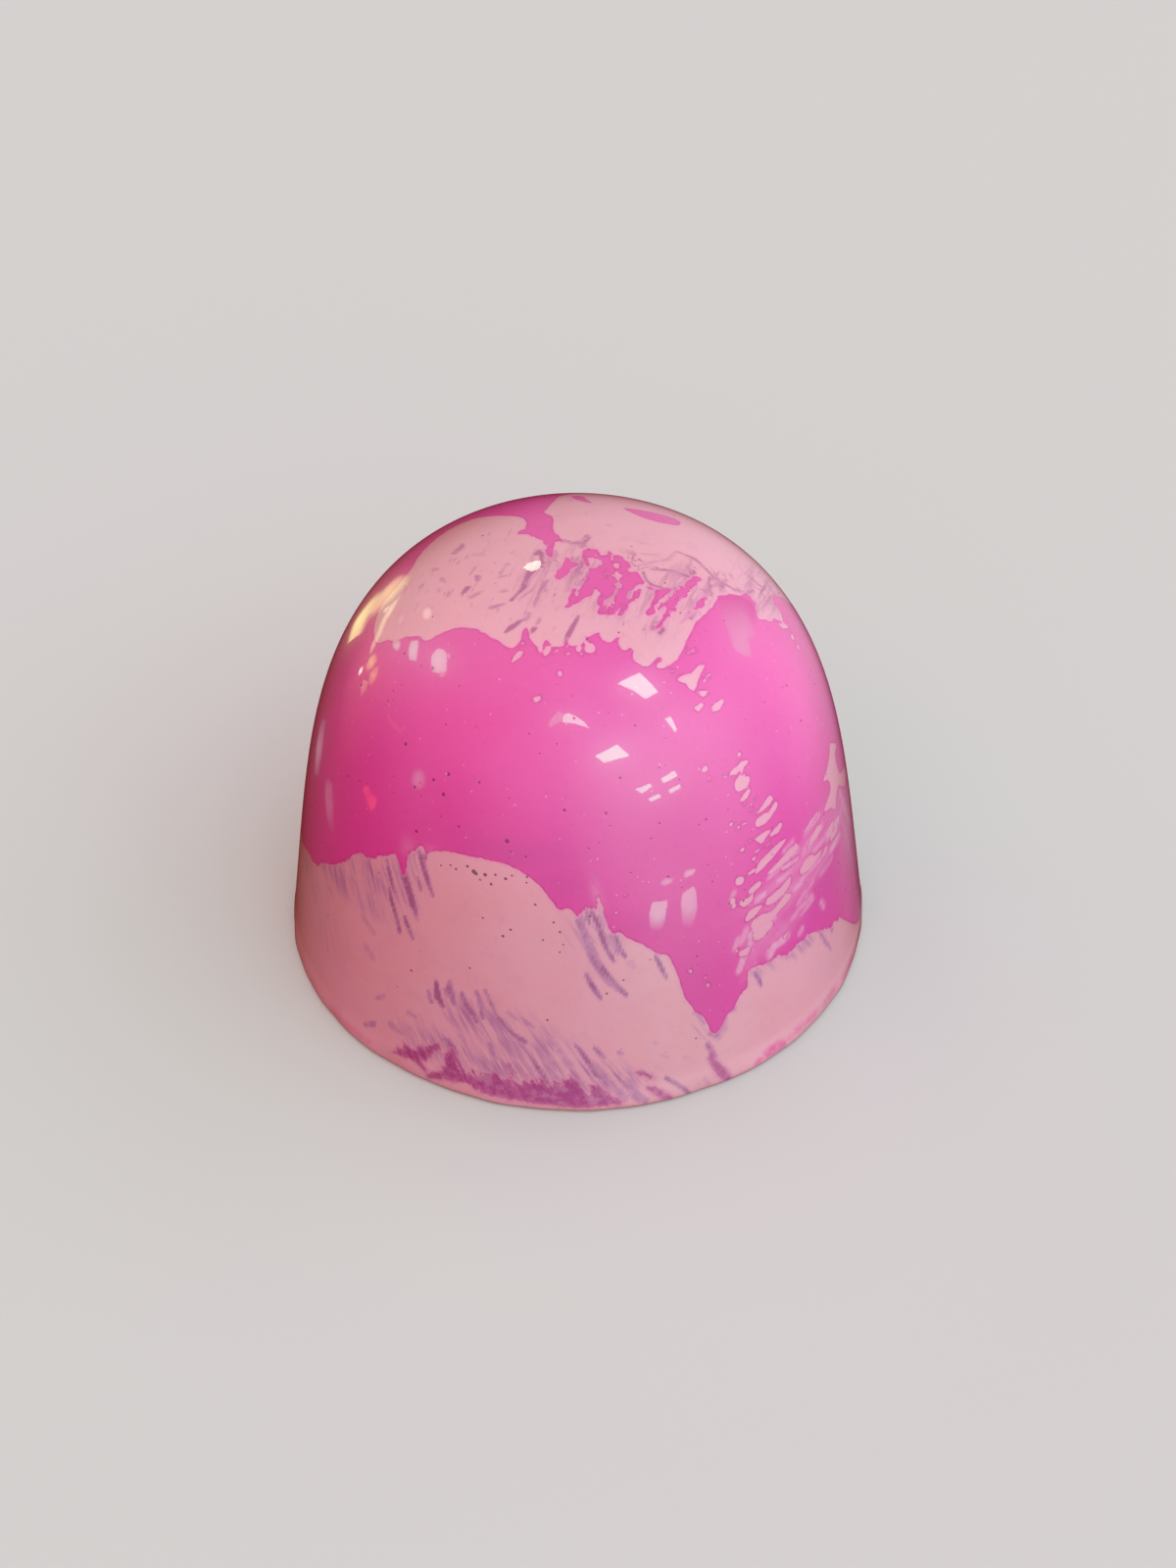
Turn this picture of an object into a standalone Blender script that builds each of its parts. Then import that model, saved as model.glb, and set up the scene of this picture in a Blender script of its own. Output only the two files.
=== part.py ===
"""Chocolate praline: a moulded, hand-painted bonbon in the tall rounded "bullet" dome shape.

It is one solid, turned about +Z. Its flat, scraped back lies on z = 0 with the origin at the centre of it, and the
crown points up. The outline follows a polished dome mould: a wall with some draft, which a superellipse rounds over
into the crown, above a foot hardly wider than the wall, where the shell met the face of the mould.
Blender works in metres here, so the dimensions below are in millimetres and MM turns them into metres.
"""

import math

import bpy

# ---- driving dimensions, in mm and degrees ----
FOOT_RADIUS = 14.50  # widest radius, at the foot
FOOT_HEIGHT = 0.45  # height of the foot's straight part
FOOT_STEP = 0.09  # how far the foot stands out from the wall
FOOT_BLEND = 0.95  # height over which the foot runs into the wall
EDGE_ROUND = 0.22  # rounding between the wall and the scraped back
HEIGHT = 21.30  # back to crown
DRAFT = 8.0  # lean of the wall towards the axis
ROUND_Z = 4.90  # superellipse exponent along the axis: higher keeps the wall straight for longer
ROUND_R = 2.62  # superellipse exponent across: higher makes the crown flatter
RINGS = 34  # rings between the foot and the crown
STEPS = 96  # facets round the axis
MM = 0.001

# ---- material ----
PINK = (0.62, 0.055, 0.24, 1.0)
ROUGHNESS = 0.12


def wall_radius(z):
    """Radius of the dome at height z, without the foot."""
    leaning = (FOOT_RADIUS - FOOT_STEP) - math.tan(math.radians(DRAFT)) * z
    rounding = max(0.0, 1.0 - (z / HEIGHT) ** ROUND_Z) ** (1.0 / ROUND_R)
    return leaning * rounding


def dome_points(z_start):
    """Points (r, z) evenly spaced along the outline, from the crown down to z_start."""
    fine = []
    samples = 4000
    for i in range(samples + 1):
        t = i / samples
        z = HEIGHT - (HEIGHT - z_start) * t**2.62  # closer together near the crown, where the outline is flat
        fine.append((wall_radius(z), z))
    travelled = [0.0]
    for (r0, z0), (r1, z1) in zip(fine, fine[1:]):
        travelled.append(travelled[-1] + math.hypot(r1 - r0, z1 - z0))
    points = []
    at = 0
    for i in range(RINGS + 1):
        wanted = travelled[-1] * i / RINGS
        while at < samples - 1 and travelled[at + 1] < wanted:
            at += 1
        span = travelled[at + 1] - travelled[at]
        mix = min(1.0, (wanted - travelled[at]) / span)
        (r0, z0), (r1, z1) = fine[at], fine[at + 1]
        points.append((r0 + (r1 - r0) * mix, z0 + (z1 - z0) * mix))
    points[0] = (0.0, HEIGHT)
    return points


def outline():
    """The whole profile, from the crown down the outer side, round the bottom edge and in to the axis."""
    blend_top = FOOT_HEIGHT + FOOT_BLEND
    points = dome_points(blend_top)
    for i in (1, 2, 3):  # S-shaped run from the wall out to the foot
        t = i / 4
        ease = t * t * (3.0 - 2.0 * t)
        z = blend_top - FOOT_BLEND * t
        points.append((wall_radius(z) * (1.0 - ease) + FOOT_RADIUS * ease, z))
    points.append((FOOT_RADIUS, FOOT_HEIGHT))
    for i in range(5):  # quarter round to the back
        a = math.radians(90.0 * i / 4)
        points.append(
            (FOOT_RADIUS - EDGE_ROUND * (1.0 - math.cos(a)), EDGE_ROUND * (1.0 - math.sin(a)))
        )
    points.append((FOOT_RADIUS * 0.62, 0.0))
    points.append((0.0, 0.0))
    return points


def painted_chocolate():
    material = bpy.data.materials.new("painted_chocolate")
    material.use_nodes = True
    shader = material.node_tree.nodes["Principled BSDF"]
    shader.inputs["Base Color"].default_value = PINK
    shader.inputs["Roughness"].default_value = ROUGHNESS
    shader.inputs["Metallic"].default_value = 0.0
    material.diffuse_color = PINK
    return material


def turned(name, points, material, collection):
    """A solid of revolution: the profile stands in the XZ plane and a Screw modifier sweeps it round Z."""
    mesh = bpy.data.meshes.new(name)
    verts = [(r * MM, 0.0, z * MM) for r, z in points]
    edges = [(i, i + 1) for i in range(len(verts) - 1)]
    mesh.from_pydata(verts, edges, [])
    mesh.materials.append(material)
    obj = bpy.data.objects.new(name, mesh)
    collection.objects.link(obj)
    screw = obj.modifiers.new("Turn", "SCREW")
    screw.axis = "Z"
    screw.angle = 2.0 * math.pi
    screw.screw_offset = 0.0
    screw.steps = STEPS
    screw.render_steps = STEPS
    screw.use_smooth_shade = True
    screw.use_merge_vertices = True
    screw.merge_threshold = 0.000001
    return obj


for old in list(bpy.data.objects):
    bpy.data.objects.remove(old, do_unlink=True)

praline_parts = bpy.data.collections.new("chocolate_praline")
bpy.context.scene.collection.children.link(praline_parts)
turned("praline", outline(), painted_chocolate(), praline_parts)
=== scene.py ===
"""Looks of the chocolate praline: a glossy moulded dome in hot pink cocoa butter with pale pink splashes.

The shell's paint lies flush under one polished surface, so the fine mesh keeps the mould's smooth outline and the paint
is a set of fields laid over it: outlines drawn with listed design points, streaks, drops and flecks.
"""

import math

import bpy
import numpy as np
from mathutils import Matrix, Vector


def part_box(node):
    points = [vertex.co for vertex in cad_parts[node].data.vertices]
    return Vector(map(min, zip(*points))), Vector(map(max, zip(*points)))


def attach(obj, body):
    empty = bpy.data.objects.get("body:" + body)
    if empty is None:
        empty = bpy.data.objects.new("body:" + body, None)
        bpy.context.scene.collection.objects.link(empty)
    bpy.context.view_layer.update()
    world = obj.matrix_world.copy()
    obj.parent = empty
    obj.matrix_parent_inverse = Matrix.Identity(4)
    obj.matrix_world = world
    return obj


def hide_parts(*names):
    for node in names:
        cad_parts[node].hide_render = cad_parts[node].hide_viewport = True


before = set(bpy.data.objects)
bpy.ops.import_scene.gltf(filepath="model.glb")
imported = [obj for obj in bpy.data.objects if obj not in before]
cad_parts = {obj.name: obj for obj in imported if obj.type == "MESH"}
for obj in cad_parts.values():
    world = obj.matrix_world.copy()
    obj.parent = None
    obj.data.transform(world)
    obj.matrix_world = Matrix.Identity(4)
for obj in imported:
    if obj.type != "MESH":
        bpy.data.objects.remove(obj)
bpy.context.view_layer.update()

MM = 0.001
low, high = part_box("praline")

# ------------------------------------------------------------------ shape, in mm
FOOT_RADIUS = float(high[0] - low[0]) / 2 / MM
HEIGHT = float(high[2] - low[2]) / MM
FOOT_HEIGHT, FOOT_STEP, FOOT_BLEND, EDGE_ROUND = 0.20, 0.09, 1.20, 0.22
FOOT_FLARE = 0.07  # a gentler foot than the solid, 0.05 mm inside it
DRAFT, ROUND_Z, ROUND_R = 8.0, 4.90, 2.62
WALL_R = 14.0  # radius that turns degrees into millimetres in the wall's chart
DEG = WALL_R * math.pi / 180.0


def wall_radius(z):
    z = np.clip(np.asarray(z, float), 0.0, HEIGHT)
    leaning = (FOOT_RADIUS - FOOT_STEP) - math.tan(math.radians(DRAFT)) * z
    dome = leaning * np.clip(1.0 - (z / HEIGHT) ** ROUND_Z, 0.0, 1.0) ** (1.0 / ROUND_R)
    t = np.clip((FOOT_HEIGHT + FOOT_BLEND - z) / FOOT_BLEND, 0.0, 1.0)
    ease = t * t * (3.0 - 2.0 * t)
    return dome + FOOT_FLARE * ease


def outline_table():
    """Fine table (s, r, z) of the outline, s being the distance along it from the bottom edge to the crown."""
    a = np.linspace(0.0, math.pi / 2, 24)
    r0 = float(wall_radius(EDGE_ROUND)) - EDGE_ROUND * (1.0 - np.sin(a))
    z0 = EDGE_ROUND * (1.0 - np.cos(a))
    t = np.linspace(0.0, 1.0, 12001)[1:]
    z1 = EDGE_ROUND + (HEIGHT - EDGE_ROUND) * (1.0 - (1.0 - t) ** ROUND_R)
    r = np.concatenate([r0, wall_radius(z1)])
    z = np.concatenate([z0, z1])
    s = np.concatenate([[0.0], np.cumsum(np.hypot(np.diff(r), np.diff(z)))])
    return s, r, z


S_T, R_T, Z_T = outline_table()
S_T = S_T - np.interp(EDGE_ROUND, Z_T, S_T) + EDGE_ROUND  # s equals the height at the foot
S_MAX = float(S_T[-1])


def surface(az_deg, s):
    a = np.radians(az_deg)
    r, z = np.interp(s, S_T, R_T), np.interp(s, S_T, Z_T)
    return np.stack([r * np.sin(a), -r * np.cos(a), z], -1)


def normal(az_deg, s):
    ds = 0.02
    lo, hi = np.clip(s - ds, S_T[0], S_MAX), np.clip(s + ds, S_T[0], S_MAX)
    dr = np.interp(hi, S_T, R_T) - np.interp(lo, S_T, R_T)
    dz = np.interp(hi, S_T, Z_T) - np.interp(lo, S_T, Z_T)
    n = np.hypot(dr, dz)
    a = np.radians(az_deg)
    return np.stack([dz / n * np.sin(a), -dz / n * np.cos(a), -dr / n], -1)


def from_crown(x, y):
    """Crown chart (x, y) in mm, the crown at 0, 0 and the front at -y, to (azimuth, s)."""
    return math.degrees(math.atan2(x, -y)), S_MAX - math.hypot(x, y)


# ------------------------------------------------------------------ fine mesh
AROUND = 512  # points round the wall; closer together at the front
FRONT_BIAS = 0.42
STEP = 0.148


def build_shell():
    k = np.arange(AROUND)
    even = k / AROUND * 2.0 * math.pi - math.pi
    # closer together where az is near 0: solves az + bias*sin(az) = even
    az = even.copy()
    for _ in range(30):
        az -= (az + FRONT_BIAS * np.sin(az) - even) / (1.0 + FRONT_BIAS * np.cos(az))
    az = np.degrees(az)
    rings = []  # (s, every n-th point)
    count_s = int(round((S_MAX - S_T[0]) / STEP))
    s_list = list(np.interp(np.linspace(0, 1, 6), [0, 1], [S_T[0], EDGE_ROUND]))[:-1]
    s_list += list(np.linspace(EDGE_ROUND, S_MAX, count_s + 1))[:-1]
    for s in s_list:
        rho = S_MAX - s
        skip = 1
        while rho < 5.2 / skip and skip < 64:
            skip *= 2
        rings.append((s, skip))
    verts, ring_index = [], []
    for s, skip in rings:
        a = az[::skip]
        ring_index.append((sum(len(v) for v in verts), len(a), skip))
        verts.append(np.stack([a, np.full(len(a), s)], -1))
    flat = np.concatenate(verts)
    points = surface(flat[:, 0], flat[:, 1])
    # the foot was cut by hand along the mould's face, so it isn't quite even
    a = np.radians(flat[:, 0])
    near_foot = np.clip((1.15 - flat[:, 1]) / 0.9, 0.0, 1.0) ** 1.5
    uneven = (
        0.030 * np.sin(3 * a + 0.7) + 0.024 * np.sin(7 * a + 2.1) + 0.018 * np.sin(13 * a - 0.6)
        + 0.014 * np.sin(23 * a + 1.3) + 0.010 * np.sin(41 * a + 0.4)
    )
    points[:, 0] *= 1.0 + near_foot * (uneven - 0.05) / FOOT_RADIUS
    points[:, 1] *= 1.0 + near_foot * (uneven - 0.05) / FOOT_RADIUS
    coords = [points]
    faces = []
    for (i0, n0, k0), (i1, n1, k1) in zip(ring_index, ring_index[1:]):
        if n0 == n1:
            j = np.arange(n0)
            jn = (j + 1) % n0
            faces += np.stack([i0 + j, i0 + jn, i1 + jn, i1 + j], -1).tolist()
        else:
            j = np.arange(n1)
            jn = (j + 1) % n1
            a0, a1, a2 = i0 + 2 * j, i0 + 2 * j + 1, i0 + (2 * j + 2) % n0
            faces += np.stack([a0, a1, i1 + j], -1).tolist()
            faces += np.stack([a1, i1 + jn, i1 + j], -1).tolist()
            faces += np.stack([a1, a2, i1 + jn], -1).tolist()
    top = len(points)
    coords.append(np.array([[0.0, 0.0, HEIGHT]]))
    i0, n0, _ = ring_index[-1]
    j = np.arange(n0)
    faces += np.stack([i0 + j, i0 + (j + 1) % n0, np.full(n0, top)], -1).tolist()
    shell_faces = len(faces)
    # the scraped back: rings that get coarser towards the middle
    az_back, s_back = [], []
    last = (0, AROUND, 1)
    start = top + 1
    skip = 1
    r_last = np.hypot(points[:AROUND, 0], points[:AROUND, 1])
    for step, frac in enumerate((0.985, 0.95, 0.88, 0.78, 0.66, 0.5, 0.34, 0.18)):
        if step >= 2:
            skip *= 2
        a = np.radians(az[::skip])
        r = r_last[::skip] * frac
        coords.append(np.stack([r * np.sin(a), -r * np.cos(a), np.zeros(len(a))], -1))
        here = (start, len(a), skip)
        (i0, n0, _), (i1, n1, _) = last, here
        j = np.arange(n1)
        jn = (j + 1) % n1
        if n0 == n1:
            faces += np.stack([i0 + jn, i0 + j, i1 + j, i1 + jn], -1).tolist()
        else:
            a0, a1, a2 = i0 + 2 * j, i0 + 2 * j + 1, i0 + (2 * j + 2) % n0
            faces += np.stack([a1, a0, i1 + j], -1).tolist()
            faces += np.stack([i1 + jn, a1, i1 + j], -1).tolist()
            faces += np.stack([a2, a1, i1 + jn], -1).tolist()
        start += len(a)
        last = here
    coords.append(np.array([[0.0, 0.0, 0.0]]))
    i0, n0, _ = last
    j = np.arange(n0)
    faces += np.stack([i0 + (j + 1) % n0, i0 + j, np.full(n0, start)], -1).tolist()
    co = np.concatenate(coords)
    mesh = bpy.data.meshes.new("praline_shell")
    mesh.from_pydata((co * MM).tolist(), [], faces)
    mesh.polygons.foreach_set("use_smooth", np.ones(len(mesh.polygons), bool))
    slots = np.zeros(len(mesh.polygons), np.int32)
    slots[shell_faces:] = 1
    mesh.polygons.foreach_set("material_index", slots)
    mesh.update()
    n = len(co)
    az_all = np.degrees(np.arctan2(co[:, 0], -co[:, 1]))
    s_all = np.full(n, S_T[0])
    s_all[: len(flat)] = flat[:, 1]
    s_all[len(flat)] = S_MAX
    return mesh, co, az_all, s_all, shell_faces


mesh, CO, AZ, SS, SHELL_FACES = build_shell()
shell = bpy.data.objects.new("praline_shell", mesh)
bpy.context.scene.collection.objects.link(shell)

# charts of every point: the wall's (mm round, mm up) and the crown's (mm, mm)
WALL = np.stack([AZ * DEG, SS], -1)
RHO = S_MAX - SS
CROWN = np.stack([RHO * np.sin(np.radians(AZ)), -RHO * np.cos(np.radians(AZ))], -1)


# ------------------------------------------------------------------ field tools
def rounded(points, times=2):
    """Cuts the corners of a closed outline (Chaikin)."""
    p = np.array(points, float)
    for _ in range(times):
        q = np.roll(p, -1, 0)
        p = np.stack([0.75 * p + 0.25 * q, 0.25 * p + 0.75 * q], 1).reshape(-1, 2)
    return p


def inside_by(chart, outline, reach=2.5):
    """Distance in mm into a closed outline: above 0 inside, below 0 outside, -reach far away."""
    out = np.full(len(chart), -reach)
    lo, hi = outline.min(0) - reach, outline.max(0) + reach
    near = np.where(((chart > lo) & (chart < hi)).all(1))[0]
    a = outline
    b = np.roll(outline, -1, 0)
    ab = b - a
    len2 = (ab**2).sum(1) + 1e-12
    for start in range(0, len(near), 4000):
        idx = near[start : start + 4000]
        p = chart[idx][:, None, :]
        t = np.clip(((p - a) * ab).sum(-1) / len2, 0.0, 1.0)
        d = p - (a + t[..., None] * ab)
        dist = np.sqrt((d**2).sum(-1)).min(1)
        up = (a[:, 1] <= p[..., 1]) != (b[:, 1] <= p[..., 1])
        dy = np.where(np.abs(ab[:, 1]) < 1e-12, 1e-12, ab[:, 1])
        x_at = a[:, 0] + (p[..., 1] - a[:, 1]) / dy * ab[:, 0]
        odd = (up & (p[..., 0] < x_at)).sum(1) % 2 == 1
        out[idx] = np.where(odd, np.minimum(dist, reach), -np.minimum(dist, reach))
    return out


def stroke(chart, path, reach=1.5):
    """Distance in mm into a stroke of changing width, path being (x, y, half width) points."""
    path = np.array(path, float)
    out = np.full(len(chart), -reach)
    lo, hi = path[:, :2].min(0) - reach, path[:, :2].max(0) + reach
    near = np.where(((chart > lo) & (chart < hi)).all(1))[0]
    p = chart[near]
    best = np.full(len(near), -reach)
    for (x0, y0, w0), (x1, y1, w1) in zip(path, path[1:]):
        a, ab = np.array([x0, y0]), np.array([x1 - x0, y1 - y0])
        t = np.clip(((p - a) @ ab) / (ab @ ab + 1e-12), 0.0, 1.0)
        d = np.sqrt(((p - (a + t[:, None] * ab)) ** 2).sum(1))
        best = np.maximum(best, (w0 + (w1 - w0) * t) - d)
    out[near] = best
    return out


def soft(x, lo, hi):
    t = np.clip((x - lo) / (hi - lo), 0.0, 1.0)
    return t * t * (3.0 - 2.0 * t)


def bump2(chart, x, y, rx, ry, turn=0.0):
    """Smooth bell of radii rx, ry round (x, y)."""
    c, s_ = math.cos(math.radians(turn)), math.sin(math.radians(turn))
    dx, dy = chart[:, 0] - x, chart[:, 1] - y
    u, v = (dx * c + dy * s_) / rx, (-dx * s_ + dy * c) / ry
    return np.exp(-(u * u + v * v))


def wall_pts(points):
    return [(a * DEG, *rest) for a, *rest in points]


# ------------------------------------------------------------------ the pale splashes
# lower band: its upper edge right round, (azimuth, mm up)
BAND_EDGE = [
    (-180, 6.5), (-177, 7.2), (-170, 8.9), (-163, 10.3), (-155, 10.9), (-146, 10.4), (-138, 9.2), (-130, 7.4), (-122, 5.6),
    (-112, 4.6), (-100, 5.2), (-90, 6.0), (-80, 6.25), (-78, 6.5), (-76, 6.7), (-74, 6.9), (-72, 7.05), (-70, 7.05),
    (-68, 7.3), (-67, 7.35), (-66, 7.5), (-65, 7.85), (-64, 8.05), (-62, 8.4), (-60.5, 8.55), (-59, 8.8), (-57.5, 9.1),
    (-56, 9.4), (-55, 9.65), (-54, 9.9), (-53, 10.2), (-52, 10.55), (-51, 10.7), (-50, 10.82), (-49, 10.8), (-48, 10.7),
    (-47, 10.95), (-46, 11.1), (-45.2, 11.3), (-44, 11.42), (-42.8, 11.56), (-41.8, 11.76), (-41, 11.88), (-40.3, 11.9),
    (-39.8, 11.78), (-39.2, 11.62), (-38.7, 11.42), (-38.2, 11.15), (-37.6, 11.1), (-37.1, 11.7), (-37.3, 12.15), (-37.1, 12.3),
    (-36.5, 12.42), (-36, 12.5), (-35.5, 12.62), (-35, 12.8), (-34.6, 12.95), (-34, 13.0), (-33.4, 12.9), (-32.95, 12.62),
    (-32.5, 12.66), (-31.9, 12.86), (-31, 12.95), (-30, 13.08), (-29, 13.15), (-28, 13.2), (-26.5, 13.25), (-24, 13.3),
    (-20, 13.34), (-16, 13.35), (-14, 13.28), (-12, 13.12), (-10, 12.9), (-8, 12.55), (-6.5, 12.2), (-5.5, 11.9), (-4.8, 11.7),
    (-4.1, 11.45), (-3.5, 11.32), (-3.1, 11.22), (-2.6, 11.38), (-2.0, 11.43), (-1.5, 11.4), (-1.0, 11.3), (-0.5, 11.1),
    (0.0, 10.92), (0.5, 11.05), (1.0, 11.2), (1.5, 11.45), (2.2, 11.56), (2.7, 11.42), (3.2, 11.42), (3.8, 11.4), (4.2, 11.25),
    (4.4, 11.5), (4.1, 12.0), (4.5, 12.0), (4.95, 11.6), (5.15, 11.2), (5.5, 10.82), (5.8, 10.6), (6.1, 10.4), (6.5, 10.2),
    (6.9, 10.05), (7.25, 9.95), (7.6, 10.0), (8, 10.03), (8.5, 10.03), (8.9, 9.95), (9.3, 9.8), (9.8, 9.68), (10.5, 9.58),
    (11.3, 9.45), (12.3, 9.3), (13.2, 9.15), (13.8, 9.0), (14.5, 8.9), (15, 8.75), (15.6, 8.62), (16.3, 8.5), (17, 8.47),
    (17.6, 8.4), (18.1, 8.25), (18.5, 8.05), (18.8, 7.8), (19.1, 7.6), (19.5, 7.3), (19.8, 7.0), (20.0, 6.7), (20.3, 6.4),
    (20.6, 6.1), (20.9, 5.8), (21.4, 5.5), (22.3, 5.2), (23, 4.75), (24.3, 4.5), (25, 4.1), (25.4, 3.85), (25.8, 3.5),
    (26.3, 3.25), (27.1, 3.1), (27.8, 3.3), (28.6, 3.5), (29.5, 3.95), (30.6, 4.05), (31.3, 4.05), (31.8, 4.45), (33, 4.7),
    (34, 4.95), (34.9, 5.05), (34.8, 5.6), (35.0, 5.85), (36, 5.9), (38, 5.88), (39, 5.75), (40.5, 5.65), (42.5, 5.8),
    (44, 5.5), (46, 5.35), (48, 5.45), (50, 5.5), (52, 5.45), (54, 5.38), (55.5, 5.15), (57, 4.85), (58.5, 4.75), (60, 4.55),
    (61.2, 4.25), (62.5, 4.4), (64.5, 4.15), (66, 3.85), (68, 3.4), (70, 2.85), (72, 2.35), (74, 1.85), (76, 1.5), (78, 1.2),
    (81, 1.1), (86, 1.3), (92, 2.2), (100, 4.2), (108, 5.6), (116, 6.1), (124, 5.6), (132, 4.4), (140, 2.9), (150, 2.2),
    (160, 3.0), (170, 4.4), (177, 5.8),
]
band = [(-180 - 12, 5.8), *BAND_EDGE, (180, 6.5), (192, 7.8), (192, -6), (-192, -6)]
pale = inside_by(WALL, rounded(wall_pts(band), 2), 3.0)

# crown splash, in the crown's chart
CROWN_EDGE = [
    (-9.45, -2.85), (-9.2, -2.85), (-9.0, -2.93), (-8.85, -3.05), (-8.7, -3.2), (-8.58, -3.36), (-8.4, -3.39), (-8.2, -3.36),
    (-8.0, -3.4), (-7.75, -3.5), (-7.5, -3.6), (-7.3, -3.68), (-7.15, -3.8), (-7.05, -3.98), (-6.95, -4.12), (-6.75, -4.2),
    (-6.55, -4.2), (-6.4, -4.13), (-6.1, -4.08), (-5.8, -4.06), (-5.5, -4.03), (-5.2, -4.05), (-5.0, -4.12), (-4.8, -4.2),
    (-4.6, -4.27), (-4.4, -4.35), (-4.25, -4.48), (-4.15, -4.62), (-3.95, -4.72), (-3.85, -4.85), (-3.7, -5.02), (-3.5, -5.15),
    (-3.35, -5.27), (-3.25, -5.38), (-3.15, -5.5), (-3.05, -5.6), (-2.95, -5.68), (-2.85, -5.72), (-2.7, -5.77), (-2.6, -5.7),
    (-2.5, -5.58), (-2.4, -5.45), (-2.35, -5.3), (-2.33, -5.1), (-2.3, -4.92), (-2.24, -4.8), (-2.15, -4.72), (-2.05, -4.78),
    (-2.0, -4.95), (-1.98, -5.15), (-1.93, -5.35), (-1.85, -5.5), (-1.75, -5.65), (-1.65, -5.8), (-1.5, -5.87), (-1.4, -5.84),
    (-1.36, -5.65), (-1.28, -5.5), (-1.18, -5.48), (-1.08, -5.63), (-1.0, -5.78), (-0.9, -5.88), (-0.7, -5.88), (-0.5, -5.87),
    (-0.4, -5.8), (-0.4, -5.6), (-0.34, -5.45), (-0.28, -5.6), (-0.26, -5.75), (-0.2, -5.86), (0.0, -5.88), (0.12, -5.86),
    (0.25, -5.78), (0.38, -5.72), (0.52, -5.6), (0.46, -5.42), (0.5, -5.36), (0.6, -5.38), (0.75, -5.33), (0.88, -5.23),
    (1.0, -5.13), (1.17, -5.13), (1.12, -5.32), (1.25, -5.52), (1.35, -5.62), (1.55, -5.64), (1.7, -5.58), (1.8, -5.4),
    (1.95, -5.31), (2.12, -5.34), (2.0, -5.5), (2.0, -5.7), (2.05, -5.87), (2.2, -5.98), (2.35, -5.97), (2.45, -5.86),
    (2.6, -5.88), (2.7, -6.0), (2.63, -6.2), (2.65, -6.42), (2.75, -6.52), (2.9, -6.56), (3.1, -6.67), (3.25, -6.68),
    (3.4, -6.61), (3.5, -6.45), (3.65, -6.3), (3.75, -6.18), (3.85, -6.08), (3.97, -6.12), (3.98, -6.32), (3.8, -6.42),
    (3.68, -6.6), (3.85, -6.65), (4.05, -6.6), (4.2, -6.5), (4.4, -6.4), (4.5, -6.25), (4.6, -6.15), (4.7, -6.05), (4.75, -5.85),
    (4.85, -5.65), (4.95, -5.4), (5.03, -5.15), (5.12, -4.85), (5.2, -4.65), (5.33, -4.35), (5.45, -4.05), (5.6, -3.7),
    (5.8, -3.4), (6.0, -3.1), (6.2, -2.77), (6.35, -2.48), (6.5, -2.13), (6.6, -1.87), (6.65, -1.7), (6.76, -1.56), (7.0, -1.46),
    (7.12, -1.35), (7.2, -1.22), (7.5, -1.12), (7.75, -1.05), (7.9, -0.94), (8.0, -0.74), (8.12, -0.58), (8.3, -0.64),
    (8.48, -0.62), (8.6, -0.76), (8.74, -0.8), (8.78, -1.0), (8.76, -1.4), (8.8, -1.78), (8.88, -1.9), (9.05, -1.76),
    (9.3, -1.6), (9.6, -1.48), (9.8, -1.2), (10.0, -0.98), (10.25, -0.86), (10.45, -0.66), (10.55, -0.4), (10.45, -0.1),
    (10.28, 0.06), (10.0, 0.1), (9.88, 0.45), (9.9, 0.95), (10.0, 1.4), (10.25, 1.55), (10.5, 1.52), (10.65, 1.8), (10.9, 2.05),
    (11.3, 2.1), (11.7, 2.6), (12.3, 3.6), (13.3, 4.6),
    (14.6, 6.0), (14.2, 7.6), (12.9, 8.6), (11.2, 9.4), (10.6, 10.9), (8.8, 11.9), (7.6, 11.2), (6.9, 12.3), (5.2, 13.1),
    (3.9, 12.2), (2.6, 12.9), (1.5, 11.4), (0.7, 9.8), (0.9, 8.2), (0.1, 7.3), (-0.6, 6.6), (-0.82, 6.0), (-0.9, 5.5),
    (-1.0, 5.1), (-1.15, 4.7), (-1.2, 4.4), (-1.32, 4.15), (-1.4, 3.98), (-1.28, 3.84), (-1.1, 3.65), (-0.95, 3.4), (-0.9, 3.1),
    (-0.93, 2.8), (-0.95, 2.4), (-0.88, 2.05), (-0.8, 1.85), (-0.7, 1.65), (-0.62, 1.45), (-0.45, 1.25), (-0.42, 1.08),
    (-0.6, 1.05), (-0.82, 1.15), (-0.87, 0.9), (-0.9, 0.55), (-0.92, 0.2), (-0.98, -0.1), (-1.08, -0.22), (-1.18, 0.0),
    (-1.24, 0.3), (-1.28, 0.6), (-1.22, 0.8), (-1.25, 1.0), (-1.36, 1.2), (-1.5, 1.33), (-1.7, 1.43), (-1.85, 1.58), (-2.0, 1.75),
    (-2.15, 1.9), (-2.35, 1.98), (-2.62, 1.98), (-2.5, 2.2), (-2.34, 2.36), (-2.2, 2.5), (-2.15, 2.8), (-2.2, 3.1), (-2.3, 3.4),
    (-2.45, 3.65), (-2.7, 3.85), (-3.0, 4.0), (-3.3, 4.15), (-3.6, 4.32), (-4.0, 4.5), (-5.0, 4.85), (-6.3, 4.2), (-7.2, 3.1),
    (-7.6, 2.1), (-7.75, 1.5), (-8.1, 1.05), (-8.5, 0.55), (-9.1, 0.2), (-9.6, -0.4), (-9.9, -1.4), (-9.85, -2.4),
]
pale = np.maximum(pale, inside_by(CROWN, rounded(CROWN_EDGE, 2), 3.0))

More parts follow.
